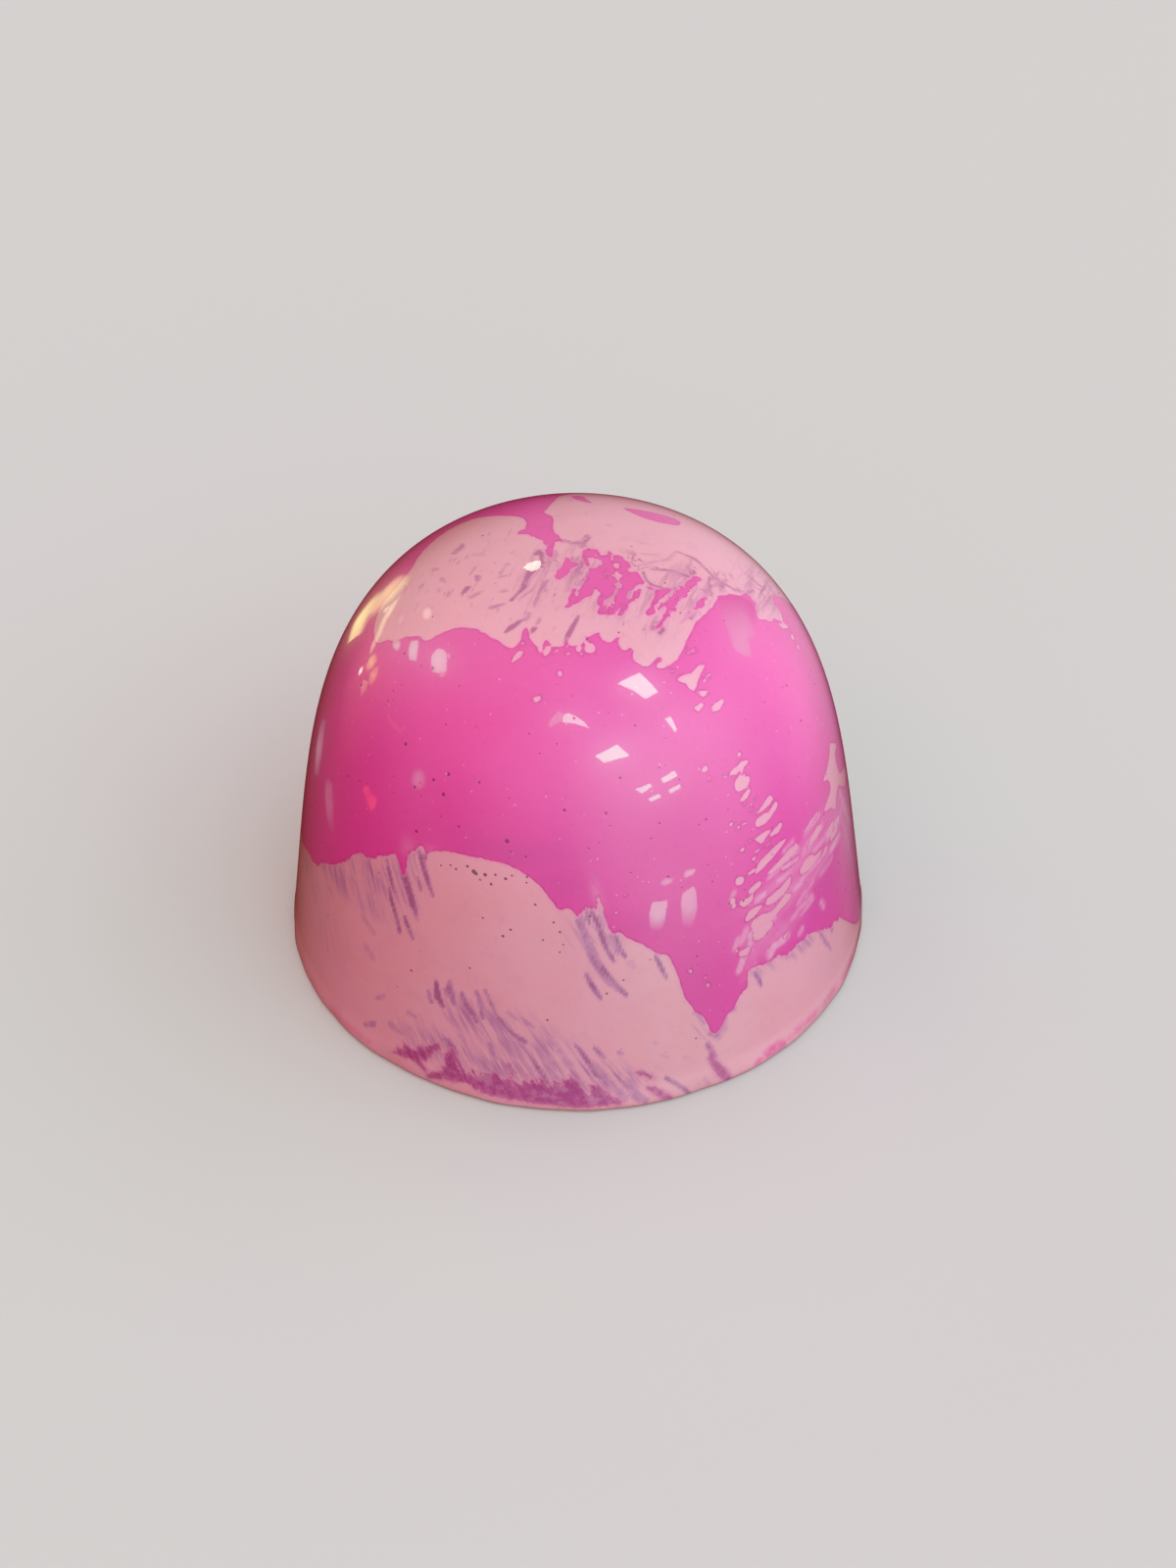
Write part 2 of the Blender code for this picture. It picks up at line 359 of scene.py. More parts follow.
# a splash on the far side, beyond the crown
FAR_SPLASH = [
    (-4.5, 8.2), (-6.5, 7.6), (-9.0, 8.0), (-11.0, 7.2), (-12.8, 8.2), (-13.6, 10.0), (-12.6, 12.1), (-10.6, 13.4),
    (-9.4, 12.9), (-8.2, 14.6), (-7.3, 13.9), (-5.6, 15.2), (-3.9, 14.2), (-4.1, 12.7), (-2.7, 11.9), (-3.4, 9.8),
]
pale = np.maximum(pale, inside_by(CROWN, rounded(FAR_SPLASH, 2), 3.0))

# where the deep pink shows through the crown splash
ISLANDS = [
    [(0.55, 0.56), (0.75, 0.53), (1.05, 0.46), (1.16, 0.35), (1.2, 0.15), (1.28, 0.0), (1.42, 0.02), (1.53, 0.06), (1.55, 0.26),
     (1.63, 0.38), (1.72, 0.29), (1.78, 0.06), (1.85, -0.04), (2.0, 0.06), (2.15, 0.06), (2.25, -0.05), (2.3, -0.25), (2.35, -0.34),
     (2.43, -0.29), (2.52, -0.5), (2.58, -0.8), (2.6, -1.1), (2.68, -1.18), (2.74, -1.0), (2.82, -0.91), (2.88, -1.1), (2.95, -1.4),
     (3.05, -1.6), (3.19, -1.85), (3.11, -2.02), (3.03, -2.1), (3.01, -2.4), (2.98, -2.75), (2.9, -2.95), (2.7, -3.06),
     (2.6, -3.16), (2.5, -3.3), (2.42, -3.55), (2.3, -3.85), (2.2, -4.06), (2.05, -4.14), (1.92, -4.1), (1.7, -4.03), (1.5, -4.12),
     (1.3, -4.12), (1.03, -4.08), (1.05, -3.93), (1.12, -3.72), (1.25, -3.5), (1.12, -3.53), (1.02, -3.48), (1.02, -3.3),
     (1.09, -3.1), (1.16, -2.9), (1.13, -2.6), (1.08, -2.47), (1.0, -2.53), (0.92, -2.7), (0.82, -2.9), (0.7, -3.0),
     (0.5, -3.04), (0.35, -3.25), (0.2, -3.41), (0.0, -3.51), (-0.2, -3.72), (-0.42, -3.74), (-0.4, -3.62), (-0.28, -3.53),
     (-0.22, -3.35), (-0.26, -3.1), (-0.16, -2.95), (-0.09, -2.7), (-0.04, -2.5), (0.02, -2.38), (0.12, -2.46), (0.22, -2.56),
     (0.28, -2.45), (0.34, -2.3), (0.45, -2.1), (0.52, -1.8), (0.62, -1.5), (0.72, -1.2), (0.66, -1.04), (0.6, -0.85), (0.5, -0.55),
     (0.42, -0.2), (0.38, 0.1), (0.4, 0.4), (0.44, 0.62), (0.48, 0.5), (0.5, 0.3), (0.53, 0.4)],
    [(5.45, -0.85), (5.6, -0.75), (5.78, -0.78), (5.87, -0.9), (5.8, -1.0), (5.7, -1.1), (5.62, -1.3), (5.5, -1.5),
     (5.38, -1.75), (5.3, -2.0), (5.15, -2.3), (5.0, -2.4), (4.9, -2.55), (4.8, -2.75), (4.72, -2.85), (4.68, -3.05),
     (4.6, -3.25), (4.5, -3.45), (4.4, -3.5), (4.35, -3.65), (4.28, -3.85), (4.15, -4.05), (4.05, -4.15), (3.98, -4.3),
     (3.85, -4.5), (3.72, -4.72), (3.6, -4.68), (3.68, -4.5), (3.8, -4.3), (3.9, -4.1), (3.97, -3.95), (4.03, -3.7), (4.1, -3.5),
     (4.16, -3.3), (4.1, -3.2), (4.0, -3.3), (3.9, -3.45), (3.8, -3.57), (3.74, -3.5), (3.86, -3.3), (3.95, -3.1),
     (4.1, -2.93), (4.25, -2.73), (4.35, -2.53), (4.45, -2.38), (4.55, -2.2), (4.7, -1.95), (4.85, -1.75), (5.0, -1.6),
     (5.12, -1.35), (5.25, -1.15), (5.4, -1.0)],
    [(3.35, -2.1), (3.5, -2.18), (3.65, -2.2), (3.85, -2.16), (4.1, -2.1), (4.3, -2.07), (4.45, -2.02), (4.4, -2.2), (4.25, -2.45),
     (4.1, -2.65), (3.95, -2.8), (3.85, -2.92), (3.75, -3.1), (3.65, -3.3), (3.6, -3.45), (3.63, -3.6), (3.66, -3.77),
     (3.55, -3.8), (3.45, -3.87), (3.35, -3.94), (3.18, -3.86), (3.2, -3.7), (3.35, -3.55), (3.42, -3.4), (3.42, -3.2),
     (3.5, -2.95), (3.56, -2.7), (3.66, -2.5), (3.7, -2.35), (3.55, -2.27), (3.42, -2.24)],
    [(5.88, -2.08), (6.1, -1.88), (6.1, -2.1), (6.0, -2.4), (5.92, -2.7), (5.8, -2.87), (5.6, -3.02), (5.42, -3.1), (5.27, -3.4),
     (5.12, -3.7), (4.98, -3.84), (4.98, -3.7), (5.14, -3.4), (5.28, -3.1), (5.38, -2.9), (5.48, -2.75), (5.58, -2.6), (5.7, -2.38),
     (5.8, -2.2)],
    [(-0.38, -0.1), (-0.25, -0.2), (-0.15, -0.34), (-0.04, -0.48), (0.1, -0.53), (0.29, -0.63), (0.25, -0.77), (0.12, -0.92),
     (-0.04, -1.02), (-0.11, -1.17), (-0.2, -1.37), (-0.35, -1.52), (-0.47, -1.67), (-0.54, -1.87), (-0.65, -1.95),
     (-0.77, -1.87), (-0.79, -1.65), (-0.73, -1.35), (-0.67, -1.05), (-0.63, -0.85), (-0.51, -0.68), (-0.43, -0.5), (-0.44, -0.3)],
    [(2.2, 4.75), (3.2, 4.72), (4.2, 4.66), (5.0, 4.5), (5.15, 4.0), (4.9, 3.55), (4.0, 3.45), (3.3, 3.7), (2.8, 4.1)],
    [(-0.15, 6.4), (0.05, 5.7), (0.4, 5.35), (0.9, 4.98), (0.85, 5.25), (0.6, 5.7), (0.5, 6.4)],
]
for shape in ISLANDS:
    pale = np.minimum(pale, -inside_by(CROWN, rounded(shape, 1), 3.0))

# pale drops and slivers, in the crown's chart: (x, y, half width) along each
CROWN_DROPS = [
    [(0.78, -0.32, 0.13), (0.95, -0.58, 0.30), (0.92, -0.78, 0.22)], [(1.93, -0.70, 0.09), (1.93, -0.88, 0.09)],
    [(2.0, -1.32, 0.10), (2.02, -1.5, 0.17), (1.97, -1.75, 0.10)], [(2.95, -2.1, 0.03), (2.74, -2.42, 0.07), (2.54, -2.72, 0.12), (2.46, -2.92, 0.09)],
    [(1.94, -2.5, 0.03), (1.8, -2.8, 0.05), (1.63, -3.2, 0.06), (1.52, -3.55, 0.05), (1.38, -3.9, 0.02)],
    [(1.9, -3.0, 0.02), (1.75, -3.5, 0.05), (1.6, -4.05, 0.05)], [(2.15, -3.4, 0.03), (2.05, -3.7, 0.06), (1.86, -4.1, 0.06)],
    [(1.42, -3.15, 0.04), (1.36, -3.45, 0.06), (1.3, -3.6, 0.03)], [(1.48, -1.15, 0.02), (1.4, -1.75, 0.05)], [(1.76, 0.0, 0.05), (1.75, -0.35, 0.04)],
    [(0.15, -2.6, 0.03), (0.13, -2.95, 0.04)], [(1.93, -2.15, 0.05), (2.1, -2.3, 0.07)], [(2.57, -1.0, 0.03), (2.52, -1.4, 0.02)],
    [(-2.38, -6.06, 0.12), (-2.5, -6.2, 0.14), (-2.76, -6.46, 0.04)], [(-2.27, -5.6, 0.06), (-2.25, -5.6, 0.06)],
    [(-1.5, -5.97, 0.10), (-1.45, -6.06, 0.07)], [(-1.15, -5.98, 0.14), (-1.26, -6.18, 0.11)], [(-0.72, -6.07, 0.05), (-0.9, -6.2, 0.04)],
    [(-0.27, -6.25, 0.07), (-0.25, -6.25, 0.07)], [(0.22, -5.96, 0.12), (0.2, -6.08, 0.10)], [(0.33, -6.3, 0.06), (0.34, -6.33, 0.05)],
    [(0.71, -5.96, 0.24), (0.72, -5.98, 0.24)], [(0.55, -5.66, 0.09), (0.6, -5.7, 0.06)],
    [(-0.66, -7.22, 0.11), (-0.64, -7.26, 0.10)], [(-1.75, -8.35, 0.12), (-1.6, -8.3, 0.09)], [(5.2, -5.6, 0.05), (5.42, -5.42, 0.07), (5.62, -5.24, 0.03)],
    [(6.03, -6.78, 0.04), (6.15, -6.55, 0.05), (6.35, -6.32, 0.04)], [(5.83, -7.38, 0.08), (6.02, -7.36, 0.12), (6.28, -7.22, 0.03)],
    [(5.68, -8.12, 0.06), (5.85, -8.1, 0.11), (6.02, -7.88, 0.08)], [(6.6, -7.93, 0.08), (6.85, -7.7, 0.16), (7.1, -7.34, 0.07)],
    [(4.4, -6.67, 0.05), (4.5, -6.64, 0.04)], [(10.35, -1.15, 0.08), (10.65, -0.9, 0.15), (10.95, -0.62, 0.08)],
]
DROP_SHAPES = [
    [(4.75, -7.0), (4.8, -7.08), (5.0, -7.08), (5.2, -7.15), (5.35, -7.3), (5.55, -7.36), (5.64, -7.25), (5.68, -7.0), (5.75, -6.7),
     (5.86, -6.4), (5.98, -6.15), (6.05, -5.91), (5.9, -5.92), (5.75, -6.05), (5.62, -6.25), (5.5, -6.45), (5.35, -6.58),
     (5.15, -6.65), (5.0, -6.75), (4.85, -6.85)],
]
for shape in DROP_SHAPES:
    pale = np.maximum(pale, inside_by(CROWN, rounded(shape, 1), 3.0))
for path in CROWN_DROPS:
    pale = np.maximum(pale, stroke(CROWN, path))

# drops and streaks thrown sideways on the right, (azimuth, mm up, half width)
WALL_DROPS = [
    [(38.0, 16.05, 0.05), (39.5, 16.06, 0.11), (40.5, 16.1, 0.08), (41.8, 16.15, 0.12), (43.6, 16.16, 0.04)],
    [(39.3, 15.58, 0.09), (40.4, 15.63, 0.10), (41.3, 15.55, 0.06)], [(39.1, 15.35, 0.20), (40.8, 15.3, 0.18), (42.1, 15.4, 0.12)],
    [(38.9, 14.68, 0.06), (40.2, 14.74, 0.12), (41.6, 14.9, 0.08)], [(42.8, 13.68, 0.03), (44.6, 13.76, 0.11), (46.6, 13.9, 0.16), (47.3, 13.86, 0.08)],
    [(42.1, 13.22, 0.17), (43.8, 13.2, 0.21), (45.6, 13.2, 0.12), (48.0, 13.45, 0.13)],
    [(40.8, 12.48, 0.07), (42.2, 12.38, 0.20), (43.6, 12.46, 0.10), (44.8, 12.46, 0.05)], [(45.0, 12.24, 0.06), (46.8, 12.27, 0.14), (48.2, 12.35, 0.10)],
    [(39.6, 10.92, 0.08), (41.0, 11.1, 0.19), (44.0, 11.28, 0.18), (47.0, 11.45, 0.12), (48.8, 11.48, 0.03)],
    [(34.8, 10.92, 0.17), (35.3, 10.9, 0.17)], [(37.5, 11.02, 0.05), (38.6, 11.04, 0.08), (39.3, 11.12, 0.04)],
    [(37.2, 10.08, 0.09), (38.4, 10.14, 0.15), (39.9, 10.22, 0.10)], [(34.8, 9.78, 0.08), (35.8, 9.62, 0.15), (37.2, 9.68, 0.12), (37.8, 9.82, 0.06)],
    [(32.8, 10.05, 0.12), (33.0, 10.0, 0.12)], [(32.9, 9.78, 0.08), (33.2, 9.78, 0.08)],
    [(36.0, 8.75, 0.12), (37.0, 8.88, 0.20), (38.4, 8.95, 0.16), (39.8, 8.98, 0.05)],
    [(41.8, 9.02, 0.16), (43.5, 9.0, 0.22), (45.5, 9.05, 0.22), (47.8, 9.25, 0.16), (48.6, 9.4, 0.05)],
    [(37.6, 8.25, 0.20), (39.5, 8.25, 0.26), (42.0, 8.15, 0.16), (44.5, 8.32, 0.18), (46.6, 8.48, 0.20), (47.8, 8.45, 0.10)],
    [(37.6, 7.65, 0.14), (39.5, 7.72, 0.28), (41.5, 7.7, 0.18)], [(37.8, 7.4, 0.08), (39.3, 7.42, 0.14), (40.4, 7.55, 0.12)],
    [(33.9, 7.05, 0.12), (34.9, 7.0, 0.17), (35.5, 7.05, 0.10)], [(42.4, 10.45, 0.05), (46.0, 10.52, 0.13), (49.5, 10.65, 0.18), (51.6, 10.7, 0.14)],
    [(46.5, 10.15, 0.06), (49.0, 10.1, 0.10), (52.0, 10.05, 0.05)],
    [(52.6, 9.22, 0.16), (54.2, 9.28, 0.28), (56.0, 9.2, 0.28), (57.6, 9.1, 0.12), (60.5, 9.08, 0.05)],
    [(55.8, 10.05, 0.06), (58.0, 10.25, 0.16), (60.0, 10.28, 0.22), (61.4, 10.3, 0.12)], [(55.0, 10.95, 0.03), (58.5, 11.12, 0.06), (61.2, 11.15, 0.06)],
    [(60.6, 8.72, 0.05), (62.2, 8.84, 0.13), (63.2, 8.85, 0.08)], [(64.0, 9.5, 0.14), (66.0, 9.42, 0.22), (67.2, 9.5, 0.14)], [(65.4, 8.92, 0.08), (69.0, 8.9, 0.14)],
    [(45.4, 6.5, 0.10), (46.2, 6.45, 0.08)], [(25.3, 6.55, 0.05), (25.6, 6.55, 0.05)], [(25.7, 6.15, 0.05), (25.9, 6.0, 0.06)],
    [(22.2, 7.2, 0.05), (22.5, 7.15, 0.05)], [(36.5, 12.4, 0.05), (37.0, 12.38, 0.07)], [(38.9, 12.6, 0.04), (39.3, 12.58, 0.05)],
    [(37.8, 13.56, 0.03), (38.9, 13.55, 0.03)], [(34.9, 13.85, 0.04), (35.2, 13.85, 0.05)], [(31.2, 16.72, 0.06), (32.0, 16.76, 0.11)],
    [(41.6, 16.62, 0.06), (42.4, 16.68, 0.04)], [(36.0, 16.05, 0.03), (37.0, 16.06, 0.03)], [(40.7, 14.02, 0.04), (41.4, 14.02, 0.04)],
    [(41.6, 13.76, 0.04), (42.2, 13.72, 0.03)], [(42.6, 14.36, 0.03), (43.2, 14.36, 0.03)], [(39.2, 14.48, 0.05), (39.8, 14.46, 0.04)],
    [(40.2, 11.9, 0.05), (41.2, 11.88, 0.04)], [(42.8, 11.84, 0.03), (44.2, 11.88, 0.04)], [(39.2, 11.62, 0.06), (39.5, 11.62, 0.05)],
    [(36.2, 13.48, 0.03), (36.8, 13.5, 0.05)], [(32.2, 16.28, 0.04), (32.6, 16.26, 0.04)], [(40.9, 15.85, 0.03), (41.6, 15.8, 0.04)],
    [(32.6, 7.3, 0.05), (33.0, 7.3, 0.05)], [(8.0, 11.1, 0.05), (8.0, 11.1, 0.05)], [(10.0, 11.86, 0.04), (10.05, 11.9, 0.04)],
]
STAR = [(66.2, 12.1), (68, 12.2), (70, 12.28), (72.0, 12.42), (74.3, 12.68), (75.0, 12.92), (76.5, 12.7), (78.5, 12.38), (80.0, 12.02),
        (78.5, 12.05), (76.5, 12.1), (76.2, 11.6), (76.4, 11.2), (77.0, 10.75), (79.0, 10.5), (81.5, 10.25), (84.5, 9.9), (84.5, 9.4),
        (81.5, 9.4), (79.5, 9.55), (77.5, 9.9), (75.8, 10.35), (74.0, 10.5), (72.0, 10.45), (70.8, 9.95), (69.4, 9.9), (68.4, 10.3),
        (67.0, 10.45), (65.4, 10.6), (64.0, 10.75), (66.0, 10.95), (68.4, 11.02), (69.6, 11.2), (69.9, 11.5), (69.2, 11.78), (67.8, 11.95)]
drops = np.full(len(SS), -3.0)
RIGHT_CHAIN = [(85.2, 18.73, 0.15), (84.3, 18.02, 0.13), (83.3, 17.53, 0.11), (86.7, 18.97, 0.10), (79.3, 15.79, 0.07), (102.1, 18.69, 0.12)]  # drops below the crown's right shoulder
for path in WALL_DROPS:
    drops = np.maximum(drops, stroke(WALL, wall_pts([(a, up, 1.12 * w + 0.012) for a, up, w in path])))
for az, up, r in RIGHT_CHAIN:
    x, y = (S_MAX - up) * math.sin(math.radians(az)), -(S_MAX - up) * math.cos(math.radians(az))
    drops = np.maximum(drops, stroke(CROWN, [(x, y + 0.5 * r, 0.8 * r), (x, y - 0.5 * r, r)]))
drops = np.maximum(drops, inside_by(WALL, rounded(wall_pts(STAR), 1), 2.0))

# the same throw of drops goes on round the far side
rng = np.random.default_rng(7)
for centre, spread, lo_s, hi_s, count in ((104, 13, 7.5, 13.5, 34), (-118, 16, 9.0, 15.5, 30), (158, 12, 12.5, 17.0, 18)):
    for _ in range(count):
        a = centre + rng.normal() * spread * 0.55
        up = rng.uniform(lo_s, hi_s)
        long = rng.uniform(0.3, 5.5) * (1.0 if rng.random() < 0.7 else 0.25)
        wide = rng.uniform(0.05, 0.22)
        drops = np.maximum(drops, stroke(WALL, wall_pts([(a, up, wide * rng.uniform(0.4, 1)), (a + long, up + long * DEG * 0.17, wide)])))
pale = np.maximum(pale, drops)

# deep pink along the foot: front zone, seam below the V, worn places; the shader also darkens them, partly worn paint
# and partly painted shade low by the floor
FOOT_ZONE = [
    [(-38.5, 0.86), (-37, 1.05), (-36, 1.32), (-35, 1.68), (-34, 1.78), (-33, 1.7), (-32, 2.02), (-30.5, 2.18), (-29.5, 2.22),
     (-28.5, 2.52), (-27.2, 2.66), (-27.3, 2.3), (-28.4, 2.0), (-29.3, 1.72), (-29.9, 1.42), (-31.0, 1.22), (-30.4, 0.98),
     (-29.6, 0.8), (-30.2, 0.62), (-31.5, 0.82), (-33, 1.08), (-34.5, 0.93), (-36, 0.96)],
    [(-30.2, 0.28), (-29, 0.72), (-27.5, 1.02), (-26.6, 1.3), (-26.1, 1.7), (-25.6, 2.3), (-24.6, 2.72), (-23.9, 2.3),
     (-23.4, 2.0), (-22.6, 1.72), (-21.6, 1.42), (-20.6, 1.6), (-19.5, 1.5), (-18.2, 1.65), (-16.6, 1.95), (-15.2, 2.0),
     (-14.2, 1.7), (-13.4, 2.05), (-12.9, 2.3), (-12.3, 1.9), (-11.5, 1.45), (-10.8, 1.6), (-10.1, 1.98), (-9.2, 1.7),
     (-8.3, 1.95), (-7.4, 1.6), (-6.8, 2.0), (-6.0, 1.45), (-5.0, 1.5), (-4.2, 1.85), (-3.3, 1.5), (-2.4, 1.95), (-1.5, 1.85),
     (-0.8, 2.25), (0.0, 1.8), (0.6, 1.5), (1.2, 1.2), (1.9, 0.98), (2.5, 1.2), (3.2, 1.62), (3.8, 1.45), (4.5, 1.15),
     (5.2, 1.2), (6.0, 1.0), (6.6, 0.8), (7.3, 0.62), (8.0, 0.42), (6.5, 0.36), (3.0, 0.36), (0, 0.34), (-4.0, 0.42), (-8.0, 0.42),
     (-11, 0.5), (-14, 0.46), (-18, 0.52), (-19.8, 0.62), (-21, 0.85), (-22, 0.82), (-24, 0.76), (-26, 0.66), (-27, 0.56), (-28.4, 0.46)],
]
foot = np.full(len(SS), -2.0)
for shape in FOOT_ZONE:
    foot = np.maximum(foot, inside_by(WALL, rounded(wall_pts(shape), 1), 2.0))
SEAM = [[(25.1, 2.7, 0.05), (25.7, 2.3, 0.05), (26.2, 1.9, 0.07)], [(25.4, 1.9, 0.10), (26.1, 1.5, 0.16), (27.1, 1.05, 0.24), (28.2, 0.6, 0.24), (29.1, 0.2, 0.16)]]
for path in SEAM:
    foot = np.maximum(foot, stroke(WALL, wall_pts(path)))
FOOT_MARKS = [
    [(12.8, 1.1, 0.05), (14.0, 0.95, 0.12), (15.0, 0.7, 0.18), (16.2, 0.4, 0.16), (17.0, 0.2, 0.12)],
    [(10.8, 2.1, 0.03), (11.8, 2.0, 0.07), (13.0, 1.8, 0.09), (13.9, 1.6, 0.03)],
]
for path in FOOT_MARKS:
    foot = np.maximum(foot, stroke(WALL, wall_pts(path)))
# these worn marks also take the darker foot colour, partly painted shade
for _ in range(26):  # the same wear right round the far side
    a = rng.uniform(70, 300)
    foot = np.maximum(foot, stroke(WALL, wall_pts([(a, rng.uniform(0.2, 0.9), rng.uniform(0.04, 0.2)), (a + rng.uniform(1, 6), rng.uniform(0.2, 1.0), rng.uniform(0.04, 0.2))])))
pale = np.minimum(pale, -foot)

